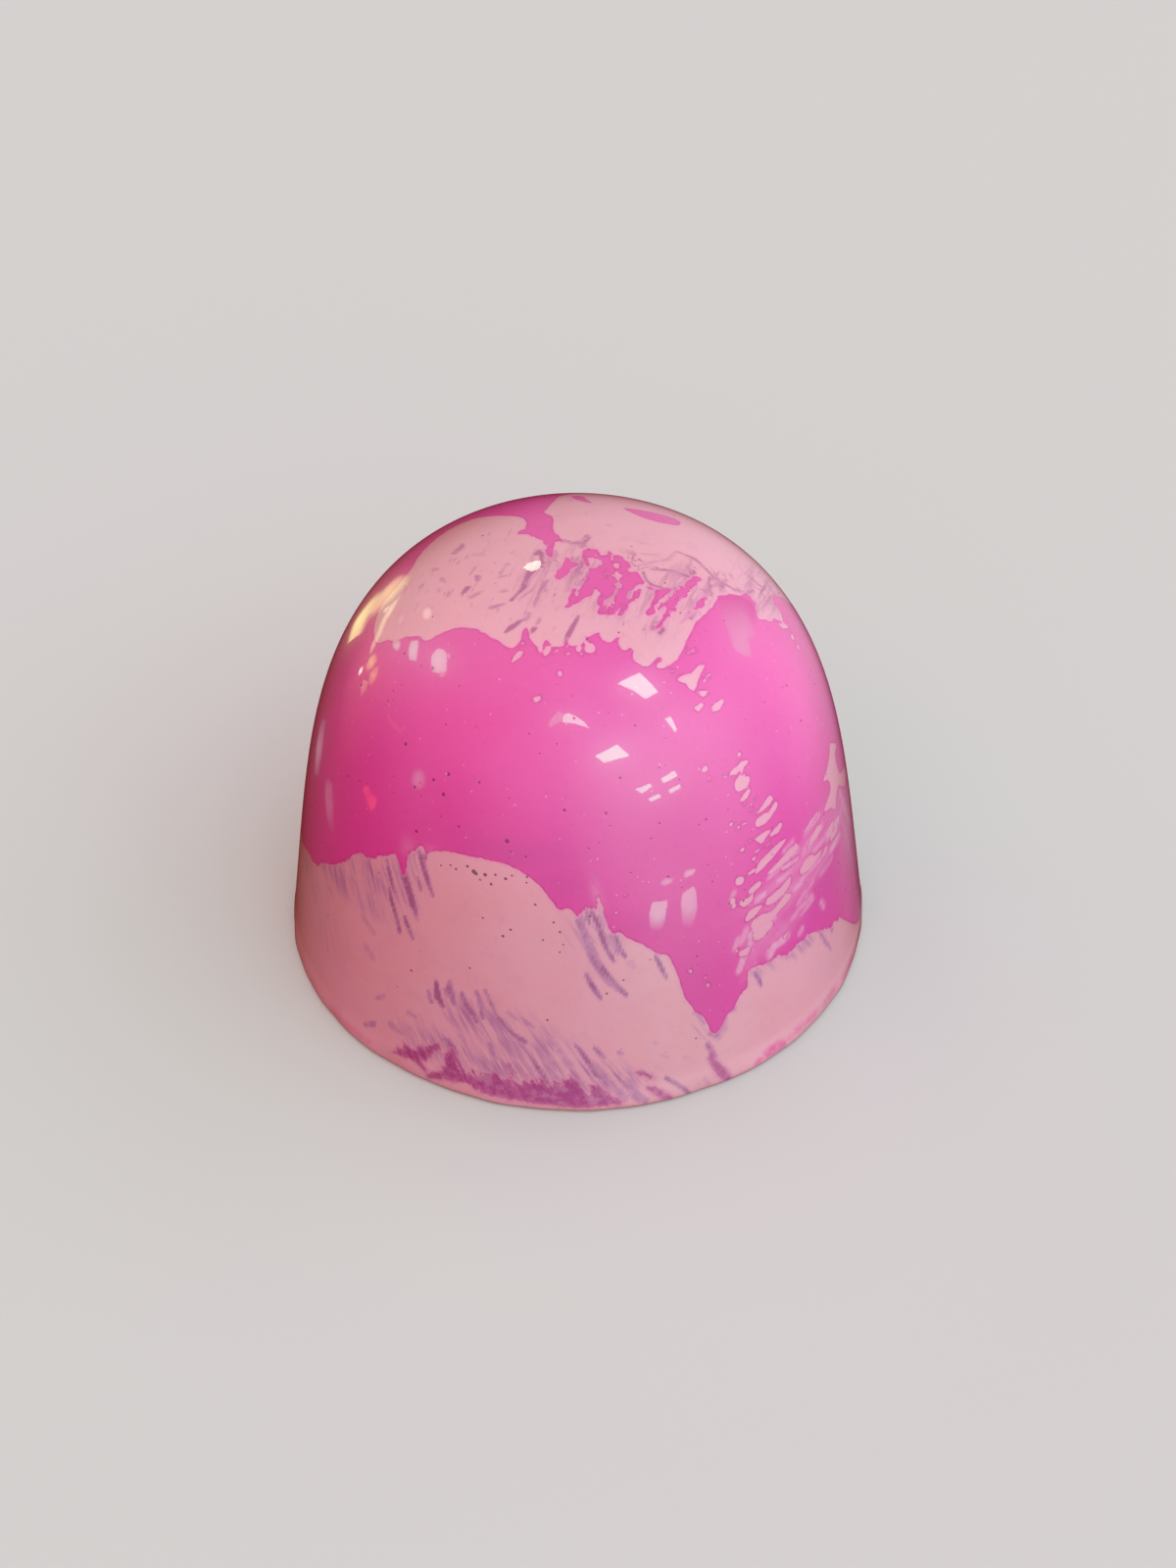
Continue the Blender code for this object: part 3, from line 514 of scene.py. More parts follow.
# ------------------------------------------------------------------ thin paint, where the deeper colour shows through as mauve
VIOLET = [  # (azimuth, mm up, half width) ..., strength
    ([(-38.3, 11.5, 0.16), (-37.5, 11.15, 0.22), (-36.6, 10.8, 0.20), (-35.6, 10.35, 0.17), (-34.6, 9.85, 0.16), (-33.7, 9.4, 0.08)], 0.8),
    ([(-38.6, 11.4, 0.05), (-37.5, 10.95, 0.06), (-36.4, 10.4, 0.06), (-35.2, 9.8, 0.06), (-34.2, 9.55, 0.04)], 1.0),
    ([(-34.8, 12.75, 0.04), (-34.0, 12.42, 0.09), (-33.0, 12.02, 0.12), (-32.0, 11.55, 0.10), (-31.0, 11.1, 0.08), (-30.2, 10.78, 0.05)], 0.95),
    ([(-34.2, 11.32, 0.04), (-33.6, 11.05, 0.06), (-33.1, 10.82, 0.05)], 0.7), ([(-33.7, 12.5, 0.14), (-32.9, 12.45, 0.10)], 0.4),
    ([(-37.0, 12.18, 0.08), (-36.9, 12.16, 0.08)], 0.6), ([(-32.9, 12.6, 0.08), (-32.8, 12.55, 0.06)], 0.8), ([(-35.6, 12.45, 0.05), (-35.6, 12.4, 0.05)], 0.5),
    ([(-42.5, 11.4, 0.06), (-41.8, 11.0, 0.10), (-40.9, 10.55, 0.09), (-40.2, 10.2, 0.06), (-39.4, 9.95, 0.03)], 0.7),
    ([(-41.1, 9.98, 0.05), (-40.2, 9.45, 0.09), (-39.1, 8.98, 0.10), (-38.1, 8.45, 0.10), (-37.5, 7.95, 0.05)], 0.8),
    ([(-36.5, 8.95, 0.07), (-35.8, 8.62, 0.10), (-35.0, 8.3, 0.08), (-34.3, 8.0, 0.05)], 0.7), ([(-34.0, 9.3, 0.08), (-33.3, 9.15, 0.08)], 0.4),
    ([(-48.2, 10.7, 0.05), (-47.4, 9.9, 0.12), (-46.0, 9.3, 0.10), (-44.8, 8.6, 0.06)], 0.35), ([(-49.4, 10.7, 0.05), (-48.3, 10.4, 0.08)], 0.3),
    ([(-61.5, 8.35, 0.15), (-59.5, 8.1, 0.15)], 0.3), ([(-55.5, 7.9, 0.15), (-53.8, 7.8, 0.1)], 0.25), ([(-47.5, 7.5, 0.2), (-44.6, 7.1, 0.2)], 0.22),
    ([(-46.5, 6.0, 0.2), (-44.4, 5.7, 0.2)], 0.25), ([(-68.5, 5.7, 0.2), (-66.0, 5.4, 0.2)], 0.25), ([(-60.0, 7.2, 0.2), (-58.4, 7.0, 0.2)], 0.2),
    ([(-42.4, 3.5, 0.10), (-40.6, 3.9, 0.10)], 0.35), ([(-45.4, 1.4, 0.10), (-43.2, 1.8, 0.14), (-42.6, 2.0, 0.05)], 0.4), ([(-38.4, 2.4, 0.25), (-35.8, 2.3, 0.12)], 0.3),
    ([(-34.4, 3.7, 0.15), (-33.0, 3.65, 0.12)], 0.3), ([(-31.0, 3.0, 0.2), (-28.8, 2.8, 0.2)], 0.25), ([(-34.6, 2.7, 0.1), (-34.0, 2.8, 0.1)], 0.3),
    ([(0.2, 10.85, 0.12), (1.2, 10.25, 0.18), (2.2, 9.5, 0.22), (3.3, 8.75, 0.24), (4.6, 8.1, 0.20), (6.2, 7.45, 0.18), (7.8, 6.95, 0.10)], 0.42),
    ([(0.1, 10.8, 0.05), (1.1, 10.2, 0.06), (2.0, 9.35, 0.06), (3.1, 8.65, 0.06), (4.1, 8.2, 0.06), (5.2, 7.75, 0.04)], 0.6),
    ([(4.9, 8.25, 0.04), (6.0, 7.8, 0.06), (7.2, 7.32, 0.06), (8.2, 6.98, 0.06), (9.3, 6.6, 0.07)], 0.85),
    ([(2.9, 11.4, 0.05), (3.4, 11.0, 0.06), (3.9, 10.7, 0.07), (4.5, 10.2, 0.09), (5.3, 9.6, 0.09), (6.0, 9.1, 0.07), (6.8, 8.7, 0.06), (7.2, 8.5, 0.04)], 1.0),
    ([(1.9, 11.35, 0.06), (2.3, 10.9, 0.06), (2.6, 10.55, 0.03)], 0.8), ([(0.9, 11.1, 0.05), (1.4, 10.6, 0.05)], 0.45),
    ([(7.3, 10.0, 0.06), (7.9, 9.6, 0.07), (8.3, 9.25, 0.05), (8.9, 8.92, 0.06), (9.5, 8.65, 0.04)], 0.75), ([(6.9, 9.9, 0.15), (7.4, 9.4, 0.15), (8.0, 8.9, 0.08)], 0.4),
    ([(1.7, 7.9, 0.05), (2.5, 7.45, 0.08), (3.4, 7.0, 0.08), (4.4, 6.55, 0.05)], 1.0), ([(4.6, 10.9, 0.15), (5.2, 10.4, 0.15)], 0.3),
    ([(15.4, 8.5, 0.04), (15.9, 8.15, 0.06), (16.6, 7.65, 0.06), (17.4, 7.15, 0.04)], 0.8), ([(10.3, 8.3, 0.2), (10.8, 8.1, 0.15)], 0.22),
    ([(-28.4, 6.15, 0.05), (-28.2, 5.7, 0.12), (-28.0, 5.35, 0.17), (-27.4, 5.15, 0.12), (-26.8, 4.9, 0.08)], 1.0), ([(-30.1, 5.5, 0.06), (-29.7, 5.1, 0.08), (-29.3, 4.9, 0.06)], 0.55),
    ([(-25.5, 6.5, 0.06), (-25.4, 6.0, 0.17), (-24.9, 5.7, 0.14), (-24.4, 5.3, 0.10)], 0.6), ([(-26.6, 5.9, 0.08), (-25.8, 5.6, 0.1)], 0.35),
    ([(-22.8, 6.0, 0.08), (-22.3, 5.6, 0.16), (-21.2, 5.2, 0.16), (-20.3, 4.95, 0.14), (-19.8, 4.6, 0.10)], 0.62), ([(-22.4, 5.2, 0.10), (-21.6, 4.8, 0.10)], 0.45),
    ([(-19.8, 6.3, 0.06), (-19.1, 5.9, 0.10), (-18.7, 5.4, 0.12), (-18.4, 4.9, 0.08)], 0.55),
    ([(-18.1, 6.5, 0.04), (-17.3, 6.1, 0.05), (-16.5, 5.65, 0.06), (-15.8, 5.3, 0.06), (-14.8, 4.95, 0.12), (-13.8, 4.65, 0.08), (-12.4, 4.3, 0.10), (-11.0, 4.1, 0.14), (-10.0, 3.95, 0.10)], 0.62),
    ([(-13.4, 5.5, 0.10), (-11.8, 5.2, 0.08)], 0.4), ([(-10.6, 5.3, 0.06), (-9.6, 5.0, 0.12), (-8.6, 4.85, 0.08)], 0.42), ([(-6.8, 4.9, 0.05), (-5.8, 4.6, 0.06), (-4.9, 4.3, 0.04)], 0.35),
    ([(-16.9, 3.5, 0.12), (-16.5, 3.1, 0.15), (-15.6, 2.7, 0.10)], 0.45), ([(-12.6, 3.4, 0.10), (-11.8, 2.9, 0.08)], 0.3), ([(-22.9, 3.55, 0.06), (-22.4, 3.4, 0.06)], 0.4),
    ([(-26.6, 3.05, 0.06), (-25.4, 3.05, 0.12), (-24.5, 2.7, 0.18), (-23.6, 2.1, 0.15)], 0.65), ([(-16.3, 2.4, 0.06), (-15.2, 1.9, 0.10)], 0.5),
    ([(-13.2, 2.5, 0.08), (-12.4, 1.9, 0.10)], 0.6), ([(-9.1, 3.2, 0.05), (-8.2, 2.75, 0.07), (-7.2, 2.3, 0.09), (-6.2, 1.8, 0.08), (-5.4, 1.5, 0.05)], 0.8),
    ([(-9.9, 2.7, 0.04), (-9.0, 2.3, 0.08), (-8.2, 1.9, 0.06)], 0.45), ([(-5.0, 3.1, 0.04), (-4.0, 2.7, 0.06), (-3.2, 2.4, 0.04)], 0.5), ([(-3.6, 3.6, 0.15), (-2.9, 3.3, 0.15), (-1.8, 2.8, 0.2)], 0.3),
    ([(-6.0, 2.6, 0.1), (-4.8, 2.1, 0.12), (-3.0, 1.9, 0.12)], 0.35), ([(-0.7, 4.0, 0.03), (0.4, 3.6, 0.06), (1.4, 3.15, 0.08), (2.4, 2.6, 0.10), (3.4, 2.2, 0.11), (4.4, 1.95, 0.08)], 0.72),
    ([(3.0, 2.7, 0.12), (4.2, 2.3, 0.18), (5.4, 1.8, 0.2), (6.4, 1.4, 0.15)], 0.35), ([(3.0, 3.8, 0.04), (3.8, 3.5, 0.07), (4.8, 3.15, 0.05)], 0.65),
    ([(7.6, 3.4, 0.08), (8.3, 3.25, 0.06)], 0.4), ([(14.4, 3.65, 0.06), (14.6, 3.6, 0.06)], 0.3), ([(15.5, 2.9, 0.1), (17.0, 2.6, 0.08)], 0.18), ([(20.0, 2.4, 0.1), (21.5, 2.2, 0.08)], 0.15),
    ([(16.4, 1.45, 0.05), (17.4, 1.2, 0.06), (18.8, 0.85, 0.07), (20.0, 0.5, 0.06), (20.8, 0.2, 0.04)], 0.72),
    ([(8.6, 1.6, 0.12), (9.6, 1.2, 0.2), (10.8, 0.7, 0.22), (12.2, 0.4, 0.2)], 0.45), ([(7.0, 1.2, 0.15), (8.4, 0.7, 0.2)], 0.4), ([(24.2, 0.7, 0.12), (25.0, 0.3, 0.12)], 0.2),
    ([(36.6, 5.6, 0.04), (37.2, 5.25, 0.07), (37.8, 4.9, 0.07), (38.1, 4.65, 0.04)], 0.75), ([(40.8, 5.65, 0.06), (41.4, 5.2, 0.08)], 0.35),
    ([(44.0, 5.5, 0.10), (45.6, 5.25, 0.12), (46.4, 5.1, 0.06)], 0.3), ([(50.6, 5.45, 0.06), (51.6, 5.15, 0.10), (52.6, 4.8, 0.06)], 0.42),
    ([(56.4, 5.0, 0.08), (57.2, 4.5, 0.10), (58.2, 4.0, 0.10), (59.2, 3.6, 0.08), (60.2, 3.1, 0.05)], 0.5), ([(60.8, 4.4, 0.08), (61.4, 4.1, 0.08)], 0.6),
    ([(26.0, 3.3, 0.15), (27.2, 3.1, 0.16), (28.2, 3.35, 0.15), (29.2, 3.8, 0.12)], 0.55), ([(24.0, 4.5, 0.12), (24.8, 4.0, 0.08)], 0.5), ([(23.0, 4.8, 0.12), (24.0, 4.6, 0.08)], 0.5),
    ([(25.1, 2.75, 0.08), (25.8, 2.3, 0.10), (26.4, 1.8, 0.12)], 0.6), ([(30.8, 4.15, 0.10), (31.3, 4.1, 0.10)], 0.6), ([(27.6, 2.9, 0.2), (29.0, 3.3, 0.2)], 0.25),
]
violet = np.zeros(len(SS))
for path, strength in VIOLET:
    violet = np.maximum(violet, min(1.0, 1.15 * strength) * soft(stroke(WALL, wall_pts([(a, up, w + 0.008) for a, up, w in path])), -0.10, 0.04))
VIOLET_CROWN = [
    # seams between lumps of pale paint, and the drawn-out ends of the bare spots
    ([(-0.56, 1.30, 0.03), (-0.08, 1.05, 0.05), (0.48, 0.85, 0.05), (0.76, 1.44, 0.03)], 0.7),
    ([(3.13, -1.12, 0.03), (3.25, -1.64, 0.05), (3.53, -2.00, 0.05), (4.33, -2.14, 0.05), (5.22, -1.44, 0.03)], 0.85),
    ([(3.50, -0.84, 0.03), (4.47, -0.73, 0.05), (5.23, -0.94, 0.05), (5.79, -0.89, 0.03)], 0.75),
    ([(2.98, -0.66, 0.03), (3.62, -0.28, 0.06), (4.28, 0.06, 0.06), (4.75, 0.88, 0.03)], 0.35),
    ([(4.75, 0.88, 0.03), (5.63, 0.62, 0.06), (6.12, 0.03, 0.06), (6.50, -0.44, 0.05), (7.45, -0.73, 0.05), (8.39, -0.46, 0.03)], 0.6),
    ([(5.52, 0.70, 0.04), (5.26, -0.26, 0.07), (5.57, -0.84, 0.04)], 0.5),
    ([(6.26, -0.53, 0.02), (6.11, -1.61, 0.04), (5.75, -2.68, 0.04), (5.29, -3.67, 0.02)], 0.7),
    ([(9.64, 2.20, 0.04), (10.01, 1.19, 0.07), (10.95, 1.06, 0.07), (11.52, 0.74, 0.04)], 0.7),
    ([(10.65, 4.13, 0.03), (10.56, 1.70, 0.06), (11.67, 2.47, 0.03)], 0.5),
    ([(8.48, -0.80, 0.03), (8.82, -0.88, 0.05), (8.86, -1.61, 0.03)], 0.6),
    ([(-1.25, 0.91, 0.03), (-0.90, 0.10, 0.05), (-1.40, 0.16, 0.05), (-1.61, 0.27, 0.03)], 0.7),
    ([(-0.87, -0.05, 0.03), (-0.60, -0.96, 0.05), (-0.71, -1.82, 0.03)], 0.5),
    ([(-2.79, -3.03, 0.04), (-2.17, -2.19, 0.07), (-2.02, -1.47, 0.07), (-1.50, -0.74, 0.04)], 0.85),
    ([(-1.74, -3.53, 0.03), (-1.49, -2.58, 0.05), (-1.12, -1.80, 0.03)], 0.55),
    ([(0.24, -0.84, 0.03), (0.67, 0.57, 0.03)], 0.7),
    ([(-0.13, -0.16, 0.03), (0.29, -0.89, 0.06), (-0.03, -1.33, 0.03)], 0.7),
    ([(-0.29, -3.63, 0.03), (-0.03, -3.11, 0.05), (-0.13, -2.33, 0.03)], 0.4),
    ([(3.55, -4.72, 0.04), (3.82, -4.34, 0.07), (4.04, -3.96, 0.04)], 0.85),
    ([(4.31, -3.55, 0.02), (4.64, -2.89, 0.04), (4.98, -2.34, 0.02)], 0.5),
    ([(3.93, -4.77, 0.04), (4.00, -4.59, 0.04)], 0.8),
    ([(3.13, -4.79, 0.03), (3.21, -4.58, 0.03)], 0.5),
    ([(3.45, -4.80, 0.03), (3.55, -4.26, 0.05), (3.72, -3.88, 0.03)], 0.5),
    ([(-3.74, -3.29, 0.03), (-3.42, -3.24, 0.06), (-3.09, -3.20, 0.03)], 0.5),
    ([(-3.22, -2.38, 0.03), (-2.95, -2.39, 0.03)], 0.5),
    ([(-3.34, -1.36, 0.03), (-3.02, -1.28, 0.03)], 0.4),
    ([(-2.37, -2.94, 0.02), (-1.90, -2.54, 0.04), (-1.65, -2.09, 0.02)], 0.4),
    ([(-1.28, -2.59, 0.03), (-1.23, -2.47, 0.03)], 0.7),
    ([(-2.27, -4.31, 0.03), (-1.95, -4.15, 0.03)], 0.5),
    ([(6.52, -0.03, 0.03), (6.96, -0.86, 0.03)], 0.55),
    ([(6.98, -0.31, 0.03), (6.76, -1.22, 0.06), (7.07, -1.14, 0.03)], 0.5),
    ([(7.71, -0.47, 0.03), (7.95, -0.84, 0.03)], 0.5),
    ([(5.83, -1.65, 0.03), (6.17, -1.42, 0.05), (6.34, -1.75, 0.03)], 0.6),
    ([(4.85, -4.09, 0.02), (5.18, -3.52, 0.04), (5.52, -2.91, 0.02)], 0.5),
    ([(2.59, 1.36, 0.03), (3.45, 1.11, 0.05), (4.11, 1.49, 0.03)], 0.2),
    ([(1.54, 2.74, 0.03), (1.75, 2.43, 0.03)], 0.3),
    ([(3.10, 0.27, 0.03), (3.86, 0.32, 0.03)], 0.3),
    ([(-5.5, 1.35, 0.16), (-5.25, 1.6, 0.18), (-5.2, 1.9, 0.10)], 0.5), ([(-6.55, 0.45, 0.10), (-6.35, 0.35, 0.10)], 0.35), ([(-6.1, -0.5, 0.08), (-6.0, -0.7, 0.10)], 0.35),
    ([(-6.25, -1.2, 0.1), (-6.1, -1.35, 0.08)], 0.2), ([(-4.38, -1.05, 0.08), (-4.33, -1.3, 0.09)], 0.85), ([(-4.8, -1.72, 0.10), (-4.95, -1.95, 0.09)], 0.9), ([(-4.65, -2.4, 0.08), (-4.25, -2.2, 0.08)], 0.4),
    ([(-3.75, -3.3, 0.08), (-3.45, -3.3, 0.09)], 0.4), ([(-3.05, -0.5, 0.12), (-2.95, -0.45, 0.1)], 0.25), ([(-3.25, -2.35, 0.1), (-3.1, -2.3, 0.1)], 0.25), ([(-4.2, -0.7, 0.05), (-4.2, -0.6, 0.05)], 0.25),
    ([(-4.5, 0.7, 0.18), (-4.2, 0.6, 0.15)], 0.22), ([(-2.0, -1.1, 0.08), (-2.15, -1.8, 0.09), (-2.35, -2.4, 0.05), (-2.75, -3.0, 0.05)], 0.75), ([(-1.35, -1.9, 0.04), (-1.55, -2.7, 0.05), (-1.75, -3.4, 0.05)], 0.45),
    ([(-1.7, 0.15, 0.07), (-1.55, 0.4, 0.10), (-1.42, 0.1, 0.07), (-1.4, -0.9, 0.05)], 0.85), ([(-1.05, -0.1, 0.10), (-1.1, -0.5, 0.12), (-1.15, -0.9, 0.06)], 0.45), ([(-0.8, 0.3, 0.06), (-0.8, -0.1, 0.06)], 0.5),
    ([(-3.0, -4.82, 0.05), (-2.8, -4.65, 0.11), (-2.55, -4.5, 0.08), (-2.4, -4.35, 0.07)], 0.85), ([(-1.85, -4.98, 0.07), (-1.75, -4.82, 0.08)], 0.95), ([(-1.65, -4.6, 0.05), (-1.5, -4.35, 0.05)], 0.5),
    ([(-2.1, -4.25, 0.10), (-2.0, -3.95, 0.10)], 0.4), ([(-0.4, -5.75, 0.05), (-0.25, -5.3, 0.08), (-0.05, -4.85, 0.07), (0.12, -4.5, 0.06), (0.22, -4.2, 0.03)], 0.95),
    ([(0.0, 0.85, 0.10), (-0.05, 0.8, 0.10)], 0.45), ([(0.4, 0.7, 0.10), (0.5, 0.95, 0.10), (0.6, 1.2, 0.06)], 0.7), ([(0.65, 1.5, 0.10), (0.6, 1.55, 0.12)], 0.5), ([(0.2, 0.9, 0.2), (0.5, 1.2, 0.2)], 0.3),
    ([(0.28, -0.9, 0.06), (0.25, -1.4, 0.09)], 0.5), ([(0.1, -1.6, 0.12), (0.15, -2.2, 0.12)], 0.35), ([(-0.5, 1.15, 0.10), (-0.3, 1.1, 0.06)], 0.5), ([(-0.8, 3.6, 0.08), (-0.7, 3.5, 0.08)], 0.25),
    ([(4.5, -1.0, 0.08), (5.05, -1.02, 0.07), (5.3, -0.8, 0.07), (5.4, -0.5, 0.05)], 0.55), ([(4.5, -0.85, 0.2), (5.2, -0.6, 0.25), (5.2, -0.2, 0.15)], 0.3), ([(3.4, -2.2, 0.10), (3.6, -2.3, 0.08)], 0.7),
    ([(4.6, -1.9, 0.08), (4.3, -2.0, 0.06)], 0.5), ([(4.0, -4.55, 0.06), (3.92, -4.75, 0.07), (3.84, -4.87, 0.05)], 1.0), ([(3.15, -4.8, 0.06), (3.12, -4.8, 0.06)], 0.3), ([(3.4, -4.65, 0.05), (3.38, -4.9, 0.05)], 0.25),
    ([(6.3, -1.1, 0.06), (6.28, -1.4, 0.07), (6.33, -1.8, 0.06)], 0.75), ([(6.12, -1.7, 0.06), (6.0, -2.1, 0.08)], 0.7), ([(6.48, -0.3, 0.06), (6.36, -0.62, 0.06)], 0.5), ([(6.75, -0.75, 0.05), (6.5, -1.02, 0.05)], 0.45),
    ([(6.95, -0.75, 0.10), (6.9, -0.9, 0.10)], 0.6), ([(6.9, -1.1, 0.15), (6.6, -0.8, 0.15), (6.9, -0.5, 0.15)], 0.3), ([(7.45, 0.15, 0.12), (7.4, 0.4, 0.10)], 0.3), ([(5.0, -3.8, 0.05), (5.2, -3.3, 0.06), (5.4, -2.95, 0.08)], 0.6),
    ([(8.28, -0.5, 0.07), (8.42, -0.25, 0.06), (8.65, 0.08, 0.04)], 0.75), ([(9.3, -0.5, 0.06), (9.5, -0.1, 0.08)], 0.3), ([(9.55, 1.25, 0.10), (9.65, 1.8, 0.12), (9.85, 2.3, 0.10), (10.0, 2.7, 0.05)], 0.45),
    ([(7.7, -0.6, 0.06), (7.6, -0.85, 0.06)], 0.3), ([(5.2, 0.2, 0.12), (5.3, 0.6, 0.10)], 0.18), ([(-0.75, -3.75, 0.06), (-0.75, -3.78, 0.06)], 0.35), ([(2.3, 1.4, 0.2), (2.5, 1.6, 0.2)], 0.12),
]
for path, strength in VIOLET_CROWN:
    violet = np.maximum(violet, min(1.0, 1.1 * strength) * soft(stroke(CROWN, [(x, y, w + 0.015) for x, y, w in path]), -0.09, 0.04))

# how thin and streaky the pale paint is, 0 to 1
thin = np.zeros(len(SS))
for x, y, rx, ry, k in (
    (-19, 4.8, 2.6, 1.1, 0.62), (-10, 3.6, 2.6, 1.1, 0.58), (-2, 2.4, 2.6, 0.9, 0.65), (-14, 2.3, 2.4, 0.7, 0.6), (-26, 2.6, 2.6, 1.2, 0.6), (6, 1.8, 2.0, 0.8, 0.7), (3.5, 10.2, 1.3, 1.4, 0.6), (-60, 8.5, 4.5, 0.9, 0.65), (-72, 6.4, 3.0, 0.9, 0.4),
    (-37.5, 11.0, 1.3, 1.6, 0.6), (-47, 10.2, 2.6, 1.0, 0.65), (24.5, 3.6, 0.9, 1.0, 0.4), (38, 5.6, 1.2, 0.5, 0.5), (52, 5.2, 2.2, 0.5, 0.45), (-60, 4.5, 3.0, 2.0, 0.2),
    (-140, 7.5, 4.5, 2.0, 0.6), (172, 4.5, 3.5, 1.6, 0.6), (115, 4.2, 4.0, 1.4, 0.55),
):
    thin = np.maximum(thin, k * bump2(WALL, x * DEG, y, rx, ry))
for x, y, rx, ry, k in (
    (0.4, -1.2, 0.9, 2.0, 0.75), (2.0, -2.6, 1.6, 1.6, 0.7), (5.0, -1.8, 1.4, 1.6, 0.7), (3.9, -2.7, 1.0, 1.4, 0.6), (-1.6, -1.5, 0.9, 2.4, 0.5), (9.3, 0.8, 1.3, 2.0, 0.8), (4.0, -4.2, 1.2, 1.2, 0.35),
    (8.0, 9.5, 3.0, 2.0, 0.5), (-9.0, 10.5, 2.5, 2.0, 0.5),
):
    thin = np.maximum(thin, k * bump2(CROWN, x, y, rx, ry))
drop_like = soft(drops, -0.15, 0.05)
for path in CROWN_DROPS:
    drop_like = np.maximum(drop_like, soft(stroke(CROWN, path), -0.15, 0.05))

# lighter, rosier pink low on the right and the left, mostly along the foot's edge: partly a rosier tint, partly a
# painted highlight where the edge catches light
blush_and_highlight = np.zeros(len(SS))
for path, strength in (
    ([(35.5, 0.35, 0.10), (38.0, 0.55, 0.26), (40.5, 0.58, 0.28), (42.3, 0.45, 0.20)], 1.0), ([(44.2, 0.62, 0.12), (46.5, 0.65, 0.18), (48.8, 0.6, 0.10)], 0.7),
    ([(49.8, 0.66, 0.14), (52.3, 0.62, 0.16)], 0.75), ([(56.0, 0.66, 0.14), (60.0, 0.7, 0.16)], 0.6), ([(-56, 0.4, 0.1), (-50, 0.5, 0.15), (-44, 0.6, 0.12)], 0.45),
    ([(64.0, 0.6, 0.12), (70.0, 0.6, 0.16)], 0.6), ([(75.0, 0.7, 0.12), (80.0, 0.5, 0.12)], 0.5), ([(33.5, 5.5, 0.15), (34.2, 5.6, 0.10)], 0.5),
):
    blush_and_highlight = np.maximum(blush_and_highlight, strength * soft(stroke(WALL, wall_pts(path)), -0.20, 0.16))

# where lumps of pale paint leave lilac seams, and where the brush left short dashes
vein, dash = np.zeros(len(SS)), np.zeros(len(SS))
for x, y, rx, ry, k in ((6.6, -0.7, 2.8, 0.8, 1.0), (3.3, -0.4, 1.9, 0.8, 0.9), (9.2, 0.6, 1.4, 1.6, 0.9), (0.2, -1.6, 1.2, 1.8, 0.5), (8.5, 9.0, 4.0, 3.0, 0.7), (-9, 9, 4, 3, 0.6)):
    vein = np.maximum(vein, k * bump2(CROWN, x, y, rx, ry))
for x, y, rx, ry, k in ((-5.2, -0.8, 3.0, 2.4, 0.50), (-2.2, -3.0, 2.2, 1.4, 0.45), (1.8, -4.6, 3.4, 0.9, 0.40), (-3.4, 2.0, 1.6, 1.2, 0.35), (5.6, -2.2, 1.2, 1.6, 0.5), (8, 8, 5, 4, 0.4), (-8, 8, 5, 4, 0.4)):
    dash = np.maximum(dash, k * bump2(CROWN, x, y, rx, ry))

# where the paint's edge crumbles rather than runs
crumb = np.full(len(SS), 0.07)
for x, y, rx, ry, k in ((1.8, -1.8, 2.2, 2.2, 0.38), (-0.6, -1.4, 1.0, 1.6, 0.5), (4.6, -2.0, 1.6, 2.0, 0.45), (8.8, 0.0, 1.6, 2.0, 0.45), (-1.8, 1.2, 1.6, 1.6, 0.35)):
    crumb = np.maximum(crumb, k * bump2(CROWN, x, y, rx, ry))
for x, y, rx, ry, k in ((-15, 1.6, 9.0, 1.4, 0.55), (4, 1.4, 3.0, 1.4, 0.5), (-44, 10.6, 5.0, 1.4, 0.20), (60, 5.6, 7.0, 2.0, 0.40), (35.5, 1.0, 1.2, 2.5, 0.35), (-65, 8.5, 5.0, 1.4, 0.2)):
    crumb = np.maximum(crumb, k * bump2(WALL, x * DEG, y, rx, ry))

# milky veils over the deep pink, right of the drops
veil = np.zeros(len(SS))
for x, y, rx, ry, turn, k in (
    (52, 9.9, 3.6, 0.55, 8, 0.55), (47, 8.6, 2.6, 0.8, 8, 0.5), (60, 8.4, 3.4, 0.5, 4, 0.4), (44, 6.9, 1.9, 0.7, 10, 0.4), (40, 7.6, 1.4, 1.0, 0, 0.5),
    (72, 9.4, 2.6, 1.1, -18, 0.55), (79, 7.6, 1.8, 2.6, -35, 0.65), (83, 5.4, 1.6, 3.0, -30, 0.5), (74, 4.6, 0.9, 2.4, -38, 0.25), (80, 2.0, 1.3, 1.4, -20, 0.55),
    (36.5, 6.6, 0.6, 1.0, -20, 0.35), (-31, 12.9, 0.6, 0.3, 0, 0.25), (-37.5, 12.6, 0.5, 0.5, 20, 0.25), (4.2, 12.0, 0.25, 0.9, 14, 0.35),
    (110, 10.4, 4.5, 1.2, 6, 0.5), (-116, 12.0, 5.0, 1.4, 6, 0.45), (156, 14.5, 4.0, 1.2, 6, 0.4),
):
    veil = np.maximum(veil, k * bump2(WALL, x * DEG, y, rx, ry, turn))

